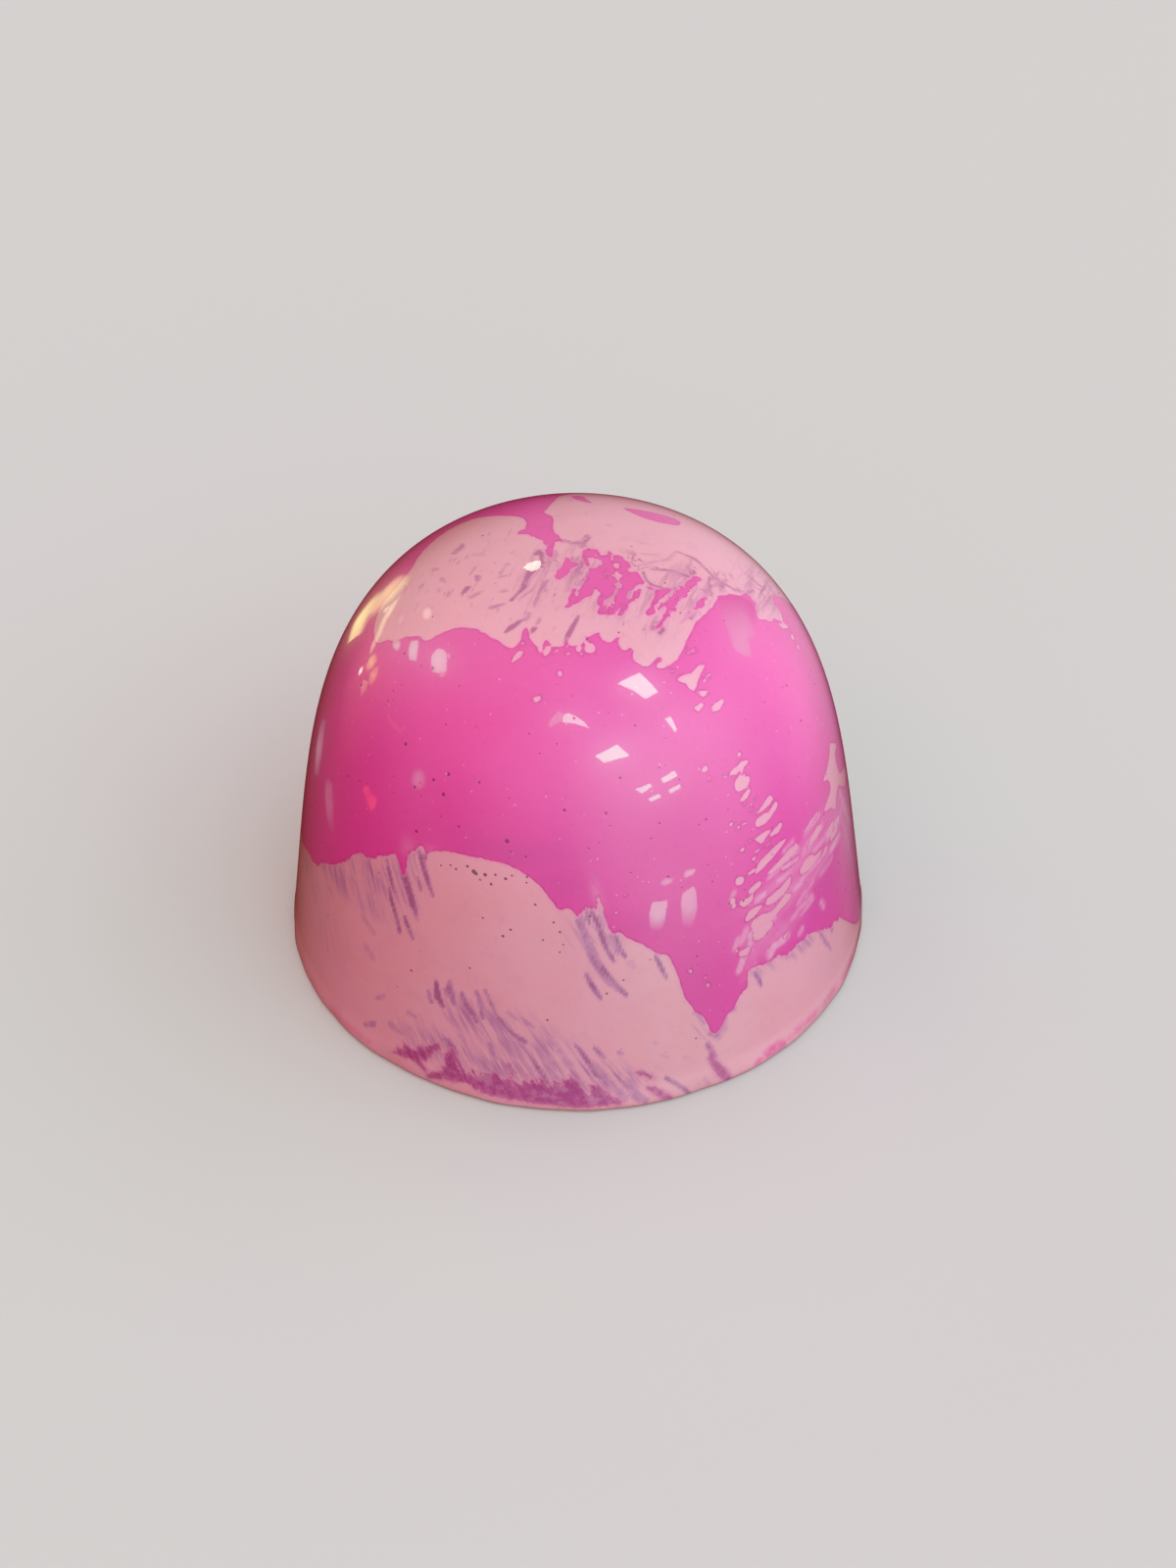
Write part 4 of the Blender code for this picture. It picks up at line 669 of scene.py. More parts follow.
VEILS = [
    ([(43.6, 10.34, 0.12), (47.4, 10.50, 0.13), (51.8, 10.53, 0.12)], 0.7), ([(42.5, 10.2, 0.05), (47.4, 10.36, 0.06)], 0.55), ([(54.2, 10.05, 0.11), (58.1, 10.24, 0.13), (61.8, 10.26, 0.11)], 0.75),
    ([(55.2, 10.91, 0.06), (58.5, 10.95, 0.07), (61.9, 10.98, 0.06)], 0.5), ([(63.9, 9.38, 0.17), (67.1, 9.29, 0.2), (70.5, 9.16, 0.17)], 0.75), ([(64.7, 8.43, 0.12), (67.7, 8.36, 0.14), (70.5, 8.32, 0.12)], 0.55),
    ([(55.8, 8.79, 0.09), (59.2, 8.81, 0.10), (63.0, 8.84, 0.09)], 0.55), ([(59.3, 7.98, 0.07), (64.7, 7.96, 0.07)], 0.45), ([(49.8, 8.59, 0.10), (52.7, 8.71, 0.11), (55.8, 8.79, 0.10)], 0.55), ([(45.0, 9.73, 0.08), (49.2, 9.57, 0.08)], 0.55),
    ([(40.9, 6.02, 0.12), (42.1, 6.42, 0.14), (44.9, 6.36, 0.12)], 0.6), ([(48.0, 7.15, 0.09), (51.1, 7.37, 0.10), (54.7, 7.36, 0.09)], 0.45), ([(50.8, 6.94, 0.06), (55.3, 7.14, 0.06)], 0.4), ([(45.2, 6.37, 0.12), (46.1, 6.41, 0.12)], 0.5),
    ([(49.7, 6.02, 0.10), (50.4, 6.09, 0.10)], 0.5), ([(75.7, 6.33, 0.1), (77.4, 4.99, 0.16), (77.7, 3.65, 0.1)], 0.35), ([(73.5, 8.48, 0.1), (75.3, 6.91, 0.16), (77.8, 5.15, 0.1)], 0.4), ([(74.6, 10.07, 0.15), (76.5, 8.76, 0.22), (79.5, 7.30, 0.15)], 0.55),
    ([(77.6, 3.27, 0.1), (81.2, 1.83, 0.14), (81.3, 1.00, 0.1)], 0.3), ([(58.0, 6.49, 0.08), (59.0, 6.02, 0.08)], 0.45), ([(57.6, 9.55, 0.08), (61.6, 9.5, 0.09), (63.9, 9.6, 0.08)], 0.45), ([(47.8, 10.98, 0.06), (50.9, 11.09, 0.06)], 0.45),
    ([(33.4, 10.46, 0.06), (32.4, 10.03, 0.06)], 0.4), ([(32.4, 7.42, 0.08), (33.3, 7.88, 0.08)], 0.4), ([(36.2, 7.31, 0.10), (34.6, 6.84, 0.12), (33.0, 6.13, 0.10)], 0.5), ([(36.9, 7.68, 0.2), (40.1, 8.0, 0.3), (42.4, 8.0, 0.2)], 0.65),
    ([(38.7, 9.44, 0.08), (40.8, 9.50, 0.08)], 0.55), ([(52.7, 7.69, 0.06), (56.0, 8.07, 0.06)], 0.4), ([(49.9, 7.66, 0.06), (52.9, 8.00, 0.06)], 0.4), ([(40.5, 6.25, 0.14), (44.5, 6.45, 0.14)], 0.4), ([(34.0, 7.6, 0.10), (35.6, 8.2, 0.12)], 0.4),
]
for path, strength in VEILS:
    veil = np.maximum(veil, min(1.0, 1.6 * strength) * soft(stroke(WALL, wall_pts([(a, up, 1.15 * w + 0.05) for a, up, w in path])), -0.12, 0.08))

# ragged edges: how far streaks push the outline, in mm
rag = np.full(len(SS), 0.035)
for x, y, rx, ry, k in (
    (-47, 11.1, 3.0, 0.9, 0.20), (-58, 9.2, 3.5, 0.9, 0.18), (-72, 7.0, 3.5, 0.9, 0.15), (-38, 12.0, 1.8, 0.8, 0.26), (3.6, 11.3, 1.3, 1.0, 0.3), (38, 5.8, 3.0, 0.6, 0.14), (55, 5.0, 4.0, 0.8, 0.14),
    (-15, 1.7, 6.0, 0.7, 0.55), (2, 1.4, 3.0, 0.7, 0.55), (-30, 1.8, 3.0, 0.9, 0.45), (45, 8.5, 5.0, 3.0, 0.08), (62, 5.2, 6.0, 1.3, 0.42), (42, 3.6, 2.0, 1.6, 0.30), (75, 8, 5.0, 5.0, 0.12), (23, 4.8, 1.0, 1.0, 0.08),
    (-115, 5.0, 6.0, 1.5, 0.2), (-150, 10.4, 6.0, 1.2, 0.22), (150, 3.0, 8.0, 1.5, 0.22), (110, 5.6, 6.0, 1.2, 0.2), (-172, 8, 3.0, 2.0, 0.12),
):
    rag = np.maximum(rag, k * bump2(WALL, x * DEG, y, rx, ry))
for x, y, rx, ry, k in (
    (1.0, -5.6, 3.4, 0.8, 0.08), (1.6, -2.6, 1.5, 1.5, 0.22), (1.6, -0.6, 1.6, 0.7, 0.10), (4.4, -2.8, 1.3, 1.6, 0.18), (9.8, 0.8, 1.2, 2.2, 0.30), (9.4, -1.2, 1.4, 0.7, 0.14),
    (-1.5, 1.0, 0.8, 1.2, 0.10), (8.0, 11.0, 5.0, 2.5, 0.2), (-9.0, 11.0, 5.0, 4.0, 0.2), (14, 6.5, 2.0, 3.0, 0.2),
):
    rag = np.maximum(rag, k * bump2(CROWN, x, y, rx, ry))

# ------------------------------------------------------------------ coordinates along the brush and splash directions
def helix(tilt, along):
    """Seamless round the dome: the pattern runs along lines that lean by tilt (mm sideways for each mm up), stretched by 1/along."""
    a = np.radians(AZ) - tilt * SS / WALL_R
    return np.stack([WALL_R * np.sin(a), -WALL_R * np.cos(a), SS * along], -1)


flow_low = helix(-0.56, 0.13)
side = WALL[:, 1] - 0.17 * WALL[:, 0]
flow_side = np.stack([np.sin(np.radians(AZ)) * WALL_R * 0.16, -np.cos(np.radians(AZ)) * WALL_R * 0.16, np.where(np.abs(AZ) < 150, side, WALL[:, 1])], -1)
turn = math.radians(19)
across = CROWN[:, 0] * math.cos(turn) - CROWN[:, 1] * math.sin(turn)
along = CROWN[:, 0] * math.sin(turn) + CROWN[:, 1] * math.cos(turn)
flow_crown = np.stack([across, along * 0.14, np.zeros(len(SS))], -1)
w_side = np.clip(sum(bump2(WALL, x * DEG, y, rx, ry) for x, y, rx, ry in ((52, 9.5, 6.5, 2.8), (78, 8, 4, 5), (110, 10.5, 8, 3), (-116, 12, 8, 3), (156, 14.5, 6, 2.5))), 0, 1)
w_crown = soft(SS, 15.5, 19.0)

# the pinks themselves
tone = np.zeros(len(SS))  # how far the deep pink leans to purple
for x, y, rx, ry, k in ((-12, 13.9, 3.6, 0.8, 0.55), (-3, 12.6, 2.0, 1.0, 0.45), (12, 10.2, 2.4, 0.8, 0.3), (5, 14.5, 6.0, 2.5, 0.15), (24, 6.2, 1.8, 2.6, 0.25), (58, 7.2, 4.0, 1.6, 0.35)):
    tone = np.maximum(tone, k * bump2(WALL, x * DEG, y, rx, ry))


def store(name, values):
    attribute = mesh.attributes.new(name, "FLOAT_VECTOR" if np.ndim(values) == 2 else "FLOAT", "POINT")
    attribute.data.foreach_set("vector" if np.ndim(values) == 2 else "value", np.ascontiguousarray(values, np.float32).ravel())


for name, values in dict(
    pale=pale, rag=rag, thin=thin, violet=violet, veil=veil, tone=tone, foot=foot, drop=drop_like, blush_and_highlight=blush_and_highlight, vein=vein, dash=dash, crumb=crumb,
    flow_low=flow_low, flow_side=flow_side, flow_crown=flow_crown, w_side=w_side, w_crown=w_crown,
).items():
    store(name, values)


# ------------------------------------------------------------------ node helpers
class Nodes:
    def __init__(self, tree):
        self.tree = tree

    def add(self, kind, **settings):
        node = self.tree.nodes.new(kind)
        for key, value in settings.items():
            setattr(node, key, value)
        return node

    def put(self, socket, value):
        if isinstance(value, bpy.types.NodeSocket):
            self.tree.links.new(value, socket)
        elif value is not None:
            socket.default_value = value

    def math(self, operation, a, b=None, c=None, clamp=False):
        node = self.add("ShaderNodeMath", operation=operation, use_clamp=clamp)
        for socket, value in zip(node.inputs, (a, b, c)):
            self.put(socket, value)
        return node.outputs[0]

    def attribute(self, name, vector=False):
        node = self.add("ShaderNodeAttribute", attribute_type="GEOMETRY", attribute_name=name)
        return node.outputs["Vector" if vector else "Fac"]

    def noise(self, vector, scale, detail=2.0, rough=0.5, lacunarity=2.0, distortion=0.0):
        node = self.add("ShaderNodeTexNoise", noise_dimensions="3D")
        self.put(node.inputs["Vector"], vector)
        for key, value in (("Scale", scale), ("Detail", detail), ("Roughness", rough), ("Lacunarity", lacunarity), ("Distortion", distortion)):
            node.inputs[key].default_value = value
        return node.outputs["Fac"]

    def step(self, value, lo, hi):
        node = self.add("ShaderNodeMapRange", interpolation_type="SMOOTHSTEP")
        self.put(node.inputs["Value"], value)
        node.inputs["From Min"].default_value, node.inputs["From Max"].default_value = lo, hi
        node.inputs["To Min"].default_value, node.inputs["To Max"].default_value = 0.0, 1.0
        return node.outputs["Result"]

    def mix(self, factor, a, b, kind="MIX"):
        node = self.add("ShaderNodeMix", data_type="RGBA", blend_type=kind)
        node.clamp_factor = True
        self.put(node.inputs["Factor"], factor)
        self.put(node.inputs[6], a)
        self.put(node.inputs[7], b)
        return node.outputs[2]

    def mixf(self, factor, a, b):
        node = self.add("ShaderNodeMix", data_type="FLOAT")
        self.put(node.inputs[0], factor)
        self.put(node.inputs[2], a)
        self.put(node.inputs[3], b)
        return node.outputs[0]

    def vec(self, operation, a, b=None, scale=None):
        node = self.add("ShaderNodeVectorMath", operation=operation)
        self.put(node.inputs[0], a)
        if b is not None:
            self.put(node.inputs[1], b)
        if scale is not None:
            self.put(node.inputs["Scale"], scale)
        return node.outputs["Value" if operation in ("DISTANCE", "LENGTH", "DOT_PRODUCT") else "Vector"]


def srgb(r, g, b):
    """A colour as seen on screen, 0 to 255, to the linear numbers that the shader takes."""
    def lin(c):
        c /= 255.0
        return c / 12.92 if c <= 0.04045 else ((c + 0.055) / 1.055) ** 2.4
    return (lin(r), lin(g), lin(b), 1.0)


MAGENTA = (0.736, 0.062, 0.328, 1.0)
MAGENTA_LIGHT = (0.755, 0.082, 0.365, 1.0)
MAGENTA_DARK = (0.600, 0.042, 0.245, 1.0)
MAGENTA_PURPLE = (0.530, 0.052, 0.285, 1.0)
RIM = (0.420, 0.035, 0.180, 1.0)  # the dark line that the pale paint's edge draws round itself
MARGIN = (0.790, 0.300, 0.450, 1.0)
# darker, more violet pink of the worn foot, darkened further as painted shade low by the floor
FOOT_PINK_SHADED = (0.360, 0.056, 0.200, 1.0)
# lighter, rosier pink for the foot's edge, partly painted highlight
BLUSH_AND_HIGHLIGHT = (0.750, 0.139, 0.330, 1.0)
PALE = (0.775, 0.385, 0.430, 1.0)
PALE_WARM = (0.775, 0.365, 0.395, 1.0)
LILAC, LILAC_CROWN = (0.550, 0.255, 0.385, 1.0), (0.600, 0.240, 0.335, 1.0)
MAUVE, MAUVE_CROWN = (0.400, 0.120, 0.255, 1.0), (0.450, 0.105, 0.235, 1.0)
MILKY = (0.790, 0.400, 0.530, 1.0)

# tiny bubbles, where the chocolate shows: (azimuth, mm up, radius)
PINHOLES = [
    (-23.0, 12.80, 0.065), (-21.5, 12.62, 0.105), (-21.0, 12.55, 0.085), (-19.0, 12.60, 0.085), (-17.6, 12.20, 0.065), (-16.8, 12.70, 0.055),
    (-14.6, 12.60, 0.070), (-13.3, 12.80, 0.045), (-20.0, 12.30, 0.045), (-25.5, 12.50, 0.055), (-26.8, 12.60, 0.045), (-29.0, 12.42, 0.045),
    (-10.2, 12.55, 0.040), (-8.3, 11.50, 0.055), (-14.7, 9.65, 0.065), (-13.2, 10.05, 0.055), (-19.0, 10.40, 0.045), (-4.6, 10.65, 0.050),
    (-6.7, 9.70, 0.045), (-2.7, 9.50, 0.040), (-3.4, 9.10, 0.040), (-14.8, 14.40, 0.095), (-30.9, 16.70, 0.080), (-31.0, 15.75, 0.085),
    (-34.3, 16.20, 0.070), (-2.5, 16.05, 0.065), (-26.0, 14.55, 0.055), (-36.0, 13.55, 0.070), (-38.7, 15.50, 0.065), (-10.6, 13.80, 0.045),
    (-44.8, 17.05, 0.085), (-22.8, 16.78, 0.050), (29.3, 14.55, 0.045), (18.5, 15.02, 0.040),
]


def painted_shell():
    material = bpy.data.materials.new("painted_cocoa_butter")
    material.use_nodes = True
    tree = material.node_tree
    n = Nodes(tree)
    shader = tree.nodes["Principled BSDF"]
    where = n.add("ShaderNodeTexCoord").outputs["Object"]
    mm = n.vec("SCALE", where, scale=1000.0)
    pale_, rag_, thin_, violet_ = (n.attribute(k) for k in ("pale", "rag", "thin", "violet"))
    veil_, tone_, w_side_, w_crown_ = (n.attribute(k) for k in ("veil", "tone", "w_side", "w_crown"))
    foot_, drop_, blush_and_highlight_, vein_, dash_, crumb_ = (n.attribute(k) for k in ("foot", "drop", "blush_and_highlight", "vein", "dash", "crumb"))
    f_low, f_side, f_crown = (n.attribute(k, True) for k in ("flow_low", "flow_side", "flow_crown"))

    def streaks(scale, detail, rough):
        low_, side_, crown_ = (n.noise(f, scale, detail, rough) for f in (f_low, f_side, f_crown))
        return n.mixf(w_crown_, n.mixf(w_side_, low_, side_), crown_)

    streak = streaks(2.6, 3.0, 0.6)
    streak_fine = streaks(6.5, 2.0, 0.6)
    grain = n.noise(mm, 5.0, 3.0, 0.6)
    # the paint's outline, frayed
    both = n.mixf(0.35, streak, streak_fine)
    push = n.math("MULTIPLY", n.math("SUBTRACT", both, 0.5), n.math("MULTIPLY", rag_, 3.2))
    wobble = n.math("MULTIPLY", n.math("SUBTRACT", grain, 0.5), 0.07)
    crumbled = n.math("MULTIPLY", n.math("SUBTRACT", n.noise(mm, 2.6, 4.0, 0.62, 2.0, 0.5), 0.5), n.math("MULTIPLY", crumb_, 1.6))
    d = n.math("ADD", n.math("ADD", n.math("ADD", pale_, push), wobble), crumbled)
    # the foot zone: worn paint, also darkened there as painted shade
    worn_and_shaded = n.step(n.math("ADD", foot_, n.math("MULTIPLY", push, -0.5)), -0.50, -0.25)
    m = n.mixf(n.math("MULTIPLY", worn_and_shaded, 0.75), n.step(d, -0.026, 0.026), n.step(d, -0.28, 0.24))
    outside = n.math("MULTIPLY", n.step(d, -0.15, -0.06), n.math("SUBTRACT", 1.0, n.step(d, -0.035, 0.01)))
    margin = n.math("SUBTRACT", 1.0, n.step(d, 0.03, 0.19))
    # deep pink
    cloud = n.noise(mm, 0.22, 3.0, 0.5)
    fleck = n.noise(mm, 2.2, 4.0, 0.65)
    deep = n.mix(n.math("MULTIPLY", n.step(cloud, 0.40, 0.70), 0.45), MAGENTA, MAGENTA_LIGHT)
    deep = n.mix(n.math("MULTIPLY", n.step(fleck, 0.52, 0.78), 0.30), deep, MAGENTA_DARK)
    deep = n.mix(n.math("MULTIPLY", n.step(n.noise(mm, 3.6, 3.0, 0.7), 0.55, 0.75), 0.30), deep, (0.77, 0.11, 0.40, 1.0))
    deep = n.mix(n.math("MULTIPLY", tone_, 0.8), deep, MAGENTA_PURPLE)
    # painted shade along the foot, mixed with the worn paint's darker pink
    deep = n.mix(n.math("MULTIPLY", worn_and_shaded, 0.9), deep, FOOT_PINK_SHADED)
    deep = n.mix(n.math("MULTIPLY", worn_and_shaded, n.math("MULTIPLY", n.step(n.mixf(0.4, both, grain), 0.44, 0.62), 0.6)), deep, (0.560, 0.150, 0.340, 1.0))
    deep = n.mix(n.math("MULTIPLY", worn_and_shaded, n.math("MULTIPLY", n.step(n.noise(mm, 1.3, 4.0, 0.65), 0.50, 0.66), 0.55)), deep, LILAC)
    # pale pink, with lilac and then mauve where it's thin
    pale_c = n.mix(n.step(n.noise(mm, 0.30, 3.0, 0.55), 0.35, 0.7), PALE, PALE_WARM)
    pale_c = n.mix(n.math("MULTIPLY", n.step(n.noise(mm, 0.75, 3.0, 0.6), 0.50, 0.74), 0.35), pale_c, (0.690, 0.325, 0.390, 1.0))
    pale_c = n.mix(n.math("MULTIPLY", n.step(n.noise(mm, 2.4, 4.0, 0.7), 0.52, 0.8), 0.20), pale_c, (0.60, 0.24, 0.34, 1.0))
    pale_c = n.mix(n.math("MULTIPLY", drop_, 0.35), pale_c, MARGIN)
    through = n.math("MULTIPLY", thin_, n.step(both, 0.40, 0.62))
    ridge = n.math("SUBTRACT", 1.0, n.math("MULTIPLY", n.math("ABSOLUTE", n.math("SUBTRACT", n.noise(mm, 0.95, 2.0, 0.5, 2.0, 0.8), 0.5)), 2.0))
    ridge = n.math("MULTIPLY", n.step(ridge, 0.90, 0.99), n.step(n.noise(mm, 0.7, 2.0, 0.5), 0.42, 0.56))
    through = n.math("MAXIMUM", through, n.math("MULTIPLY", vein_, ridge))
    dashes = n.step(n.noise(n.vec("MULTIPLY", f_crown, (1.0, 2.2, 1.0)), 4.2, 2.0, 0.55), 0.57, 0.69)
    through = n.math("MAXIMUM", through, n.math("MULTIPLY", dash_, dashes))
    through = n.math("MAXIMUM", through, n.math("MULTIPLY", violet_, n.mixf(n.step(n.noise(mm, 1.7, 3.0, 0.6), 0.40, 0.56), 0.68, 1.0)))
    lilac = n.mix(w_crown_, LILAC, LILAC_CROWN)
    pale_c = n.mix(n.math("MULTIPLY", thin_, 0.24), pale_c, lilac)
    pale_c = n.mix(n.step(through, 0.02, 0.45), pale_c, lilac)
    pale_c = n.mix(n.step(through, 0.32, 0.85), pale_c, n.mix(w_crown_, MAUVE, MAUVE_CROWN))
    pale_c = n.mix(n.math("MULTIPLY", margin, n.mixf(n.step(fleck, 0.42, 0.60), 0.30, 0.65)), pale_c, MARGIN)
    # milky veil over the deep pink
    milk = n.math("MULTIPLY", veil_, n.mixf(n.step(both, 0.34, 0.58), 0.45, 1.0), clamp=True)
    deep = n.mix(milk, deep, MILKY)
    deep = n.mix(n.math("MULTIPLY", outside, n.mixf(n.step(grain, 0.40, 0.60), 0.10, 0.50)), deep, RIM)
    colour = n.mix(m, deep, pale_c)
    # painted highlight along the foot's edge, with a rosier tint
    colour = n.mix(n.math("MULTIPLY", blush_and_highlight_, n.step(n.mixf(0.5, grain, streak), 0.30, 0.55)), colour, BLUSH_AND_HIGHLIGHT)
    # bubbles
    nearest = None
    for az, s, r in PINHOLES:
        p = surface(az, s) * MM
        gap = n.math("SUBTRACT", n.math("MULTIPLY", n.vec("DISTANCE", where, tuple(p)), 1000.0), r)
        nearest = gap if nearest is None else n.math("MINIMUM", nearest, gap)
    cells = n.add("ShaderNodeTexVoronoi", feature="F1", distance="EUCLIDEAN")
    n.put(cells.inputs["Vector"], mm)
    cells.inputs["Scale"].default_value = 1.45
    split = n.add("ShaderNodeSeparateColor")
    n.put(split.inputs[0], cells.outputs["Color"])
    radius = n.math("MULTIPLY", n.step(split.outputs[0], 0.45, 1.0), 0.058)
    gap = n.math("SUBTRACT", n.math("DIVIDE", cells.outputs["Distance"], 1.45), radius)
    nearest = n.math("MINIMUM", nearest, gap)
    fine = n.add("ShaderNodeTexVoronoi", feature="F1", distance="EUCLIDEAN")
    n.put(fine.inputs["Vector"], n.vec("ADD", mm, (3.7, 1.3, 5.1)))
    fine.inputs["Scale"].default_value = 2.3
    split3 = n.add("ShaderNodeSeparateColor")
    n.put(split3.inputs[0], fine.outputs["Color"])
    gap = n.math("SUBTRACT", n.math("DIVIDE", fine.outputs["Distance"], 2.3), n.math("MULTIPLY", n.step(split3.outputs[0], 0.55, 1.0), n.mixf(m, 0.042, 0.0)))
    nearest = n.math("MINIMUM", nearest, n.math("ADD", gap, 0.004))
    hole = n.math("SUBTRACT", 1.0, n.step(nearest, -0.015, 0.022))
    hole_c = n.mix(m, (0.20, 0.006, 0.065, 1.0), (0.13, 0.035, 0.035, 1.0))
    colour = n.mix(n.math("MULTIPLY", hole, 0.85), colour, hole_c)
    # dust-fine light specks
    specks = n.add("ShaderNodeTexVoronoi", feature="F1", distance="EUCLIDEAN")
    n.put(specks.inputs["Vector"], mm)
    specks.inputs["Scale"].default_value = 2.6
    split2 = n.add("ShaderNodeSeparateColor")
    n.put(split2.inputs[0], specks.outputs["Color"])
    dot = n.math("SUBTRACT", n.math("DIVIDE", specks.outputs["Distance"], 2.6), n.math("MULTIPLY", n.step(split2.outputs[1], 0.55, 1.0), 0.045))
    dot = n.math("SUBTRACT", 1.0, n.step(dot, -0.01, 0.02))
    colour = n.mix(n.math("MULTIPLY", dot, 0.45), colour, (0.85, 0.45, 0.62, 1.0))
    n.put(shader.inputs["Base Color"], colour)
    rough = n.math("ADD", 0.30, n.math("MULTIPLY", n.math("SUBTRACT", fleck, 0.5), 0.12))
    rough = n.mixf(hole, rough, 0.55)
    n.put(shader.inputs["Roughness"], rough)
    shader.inputs["Specular IOR Level"].default_value = 0.5
    shader.inputs["Coat Weight"].default_value = 1.0
    shader.inputs["Coat Roughness"].default_value = 0.018
    shader.inputs["Coat IOR"].default_value = 1.5
    relief = n.math("SUBTRACT", n.math("MULTIPLY", n.noise(mm, 0.5, 2.0, 0.5), 0.010), n.math("MULTIPLY", hole, 0.05))
    bump = n.add("ShaderNodeBump")
    bump.inputs["Strength"].default_value = 0.35
    bump.inputs["Distance"].default_value = 0.001
    n.put(bump.inputs["Height"], relief)
    n.put(shader.inputs["Normal"], bump.outputs["Normal"])
    n.put(shader.inputs["Coat Normal"], bump.outputs["Normal"])
    return material


def scraped_back():
    """The back, scraped flat with a palette knife: bare chocolate with faint scrape marks."""
    material = bpy.data.materials.new("scraped_chocolate")
    material.use_nodes = True
    tree = material.node_tree
    n = Nodes(tree)
    shader = tree.nodes["Principled BSDF"]
    where = n.add("ShaderNodeTexCoord").outputs["Object"]
    mm = n.vec("SCALE", where, scale=1000.0)
    stretched = n.vec("MULTIPLY", mm, (0.07, 1.6, 1.0))
    marks = n.noise(stretched, 1.0, 4.0, 0.6)
    cloud = n.noise(mm, 0.35, 3.0, 0.55)
    colour = n.mix(n.step(cloud, 0.3, 0.7), (0.085, 0.030, 0.014, 1.0), (0.125, 0.048, 0.022, 1.0))
    colour = n.mix(n.math("MULTIPLY", n.step(marks, 0.45, 0.7), 0.4), colour, (0.165, 0.070, 0.036, 1.0))
    n.put(shader.inputs["Base Color"], colour)
    n.put(shader.inputs["Roughness"], n.math("ADD", 0.38, n.math("MULTIPLY", marks, 0.2)))
    bump = n.add("ShaderNodeBump")
    bump.inputs["Strength"].default_value = 0.5
    bump.inputs["Distance"].default_value = 0.0003
    n.put(bump.inputs["Height"], marks)
    n.put(shader.inputs["Normal"], bump.outputs["Normal"])
    return material


mesh.materials.append(painted_shell())
mesh.materials.append(scraped_back())

# ------------------------------------------------------------------ a flat map of the shell and its back, for baked copies
layer = mesh.uv_layers.new(name="OFBake")
loop_vert = np.zeros(len(mesh.loops), np.int32)
mesh.loops.foreach_get("vertex_index", loop_vert)
loop_slot = np.zeros(len(mesh.loops), np.int32)
starts = np.zeros(len(mesh.polygons), np.int32)
mesh.polygons.foreach_get("loop_start", starts)
totals = np.zeros(len(mesh.polygons), np.int32)
mesh.polygons.foreach_get("loop_total", totals)
loop_slot = np.repeat((np.arange(len(mesh.polygons)) >= SHELL_FACES).astype(int), totals)
reach = S_MAX - S_T[0]
dome_uv = 0.5 + CROWN / reach * 0.492
back_uv = np.stack([0.0815 + CO[:, 0] / FOOT_RADIUS * 0.066, 0.0815 + CO[:, 1] / FOOT_RADIUS * 0.066], -1)
uv = np.where(loop_slot[:, None] == 1, back_uv[loop_vert], dome_uv[loop_vert])
layer.data.foreach_set("uv", uv.astype(np.float32).ravel())

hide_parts("praline")
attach(shell, "root")

# ------------------------------------------------------------------ camera, at the photograph's angle
ELEVATION, DISTANCE, ROLL = 40.19, 125.0, -0.57
OFF_RIGHT, OFF_UP = 0.50, 5.92  # mm that the camera stands right of and above the line to the base's centre
e, t = math.radians(ELEVATION), math.radians(ROLL)
look = Vector((0.0, math.cos(e), -math.sin(e)))
up0, right0 = Vector((0.0, math.sin(e), math.cos(e))), Vector((1.0, 0.0, 0.0))
right_ = right0 * math.cos(t) + up0 * math.sin(t)
up_v = up0 * math.cos(t) - right0 * math.sin(t)
eye = (-look * DISTANCE + right_ * OFF_RIGHT + up_v * OFF_UP) * MM
camera_data = bpy.data.cameras.new("Camera")
camera_data.sensor_width = 36.0
camera_data.lens = 2508.0 * 36.0 / 1600.0
camera_data.clip_start, camera_data.clip_end = 0.005, 10.0
camera = bpy.data.objects.new("Camera", camera_data)
rotation = Matrix((right_, up_v, -look)).transposed()
camera.matrix_world = Matrix.Translation(eye) @ rotation.to_4x4()
bpy.context.scene.collection.objects.link(camera)
bpy.context.scene.camera = camera

# ------------------------------------------------------------------ stage: one pale sweep, floor and backdrop
def build_stage():
    profile = [(0.0, 0.0), (0.05, 0.0), (0.2, 0.0), (0.45, 0.0), (0.7, 0.0)]
    profile += [(0.7 + 0.4 * math.sin(a), 0.4 - 0.4 * math.cos(a)) for a in np.linspace(0, math.pi / 2, 14)[1:]]
    profile += [(1.1, 0.9)]
    around = 96
    verts, faces = [(0.0, 0.0, 0.0)], []
    for r, z in profile[1:]:
        verts += [(r * math.cos(2 * math.pi * k / around), r * math.sin(2 * math.pi * k / around), z) for k in range(around)]
    for k in range(around):
        faces.append((0, 1 + k, 1 + (k + 1) % around))
    for ring in range(len(profile) - 2):
        for k in range(around):
            a = 1 + ring * around
            faces.append((a + k, a + around + k, a + around + (k + 1) % around, a + (k + 1) % around))
    stage_mesh = bpy.data.meshes.new("stage")
    stage_mesh.from_pydata(verts, [], faces)
    stage_mesh.polygons.foreach_set("use_smooth", np.ones(len(stage_mesh.polygons), bool))
    material = bpy.data.materials.new("stage_pale")
    material.use_nodes = True
    shader = material.node_tree.nodes["Principled BSDF"]
    shader.inputs["Base Color"].default_value = (0.62, 0.68, 0.59, 1.0)
    shader.inputs["Roughness"].default_value = 0.85
    shader.inputs["Specular IOR Level"].default_value = 0.15
    stage_mesh.materials.append(material)
    obj = bpy.data.objects.new("stage", stage_mesh)
    bpy.context.scene.collection.objects.link(obj)
    obj.location.z = -0.00002
    obj.visible_glossy = obj.visible_diffuse = obj.visible_transmission = obj.visible_shadow = False
    return obj


stage = build_stage()

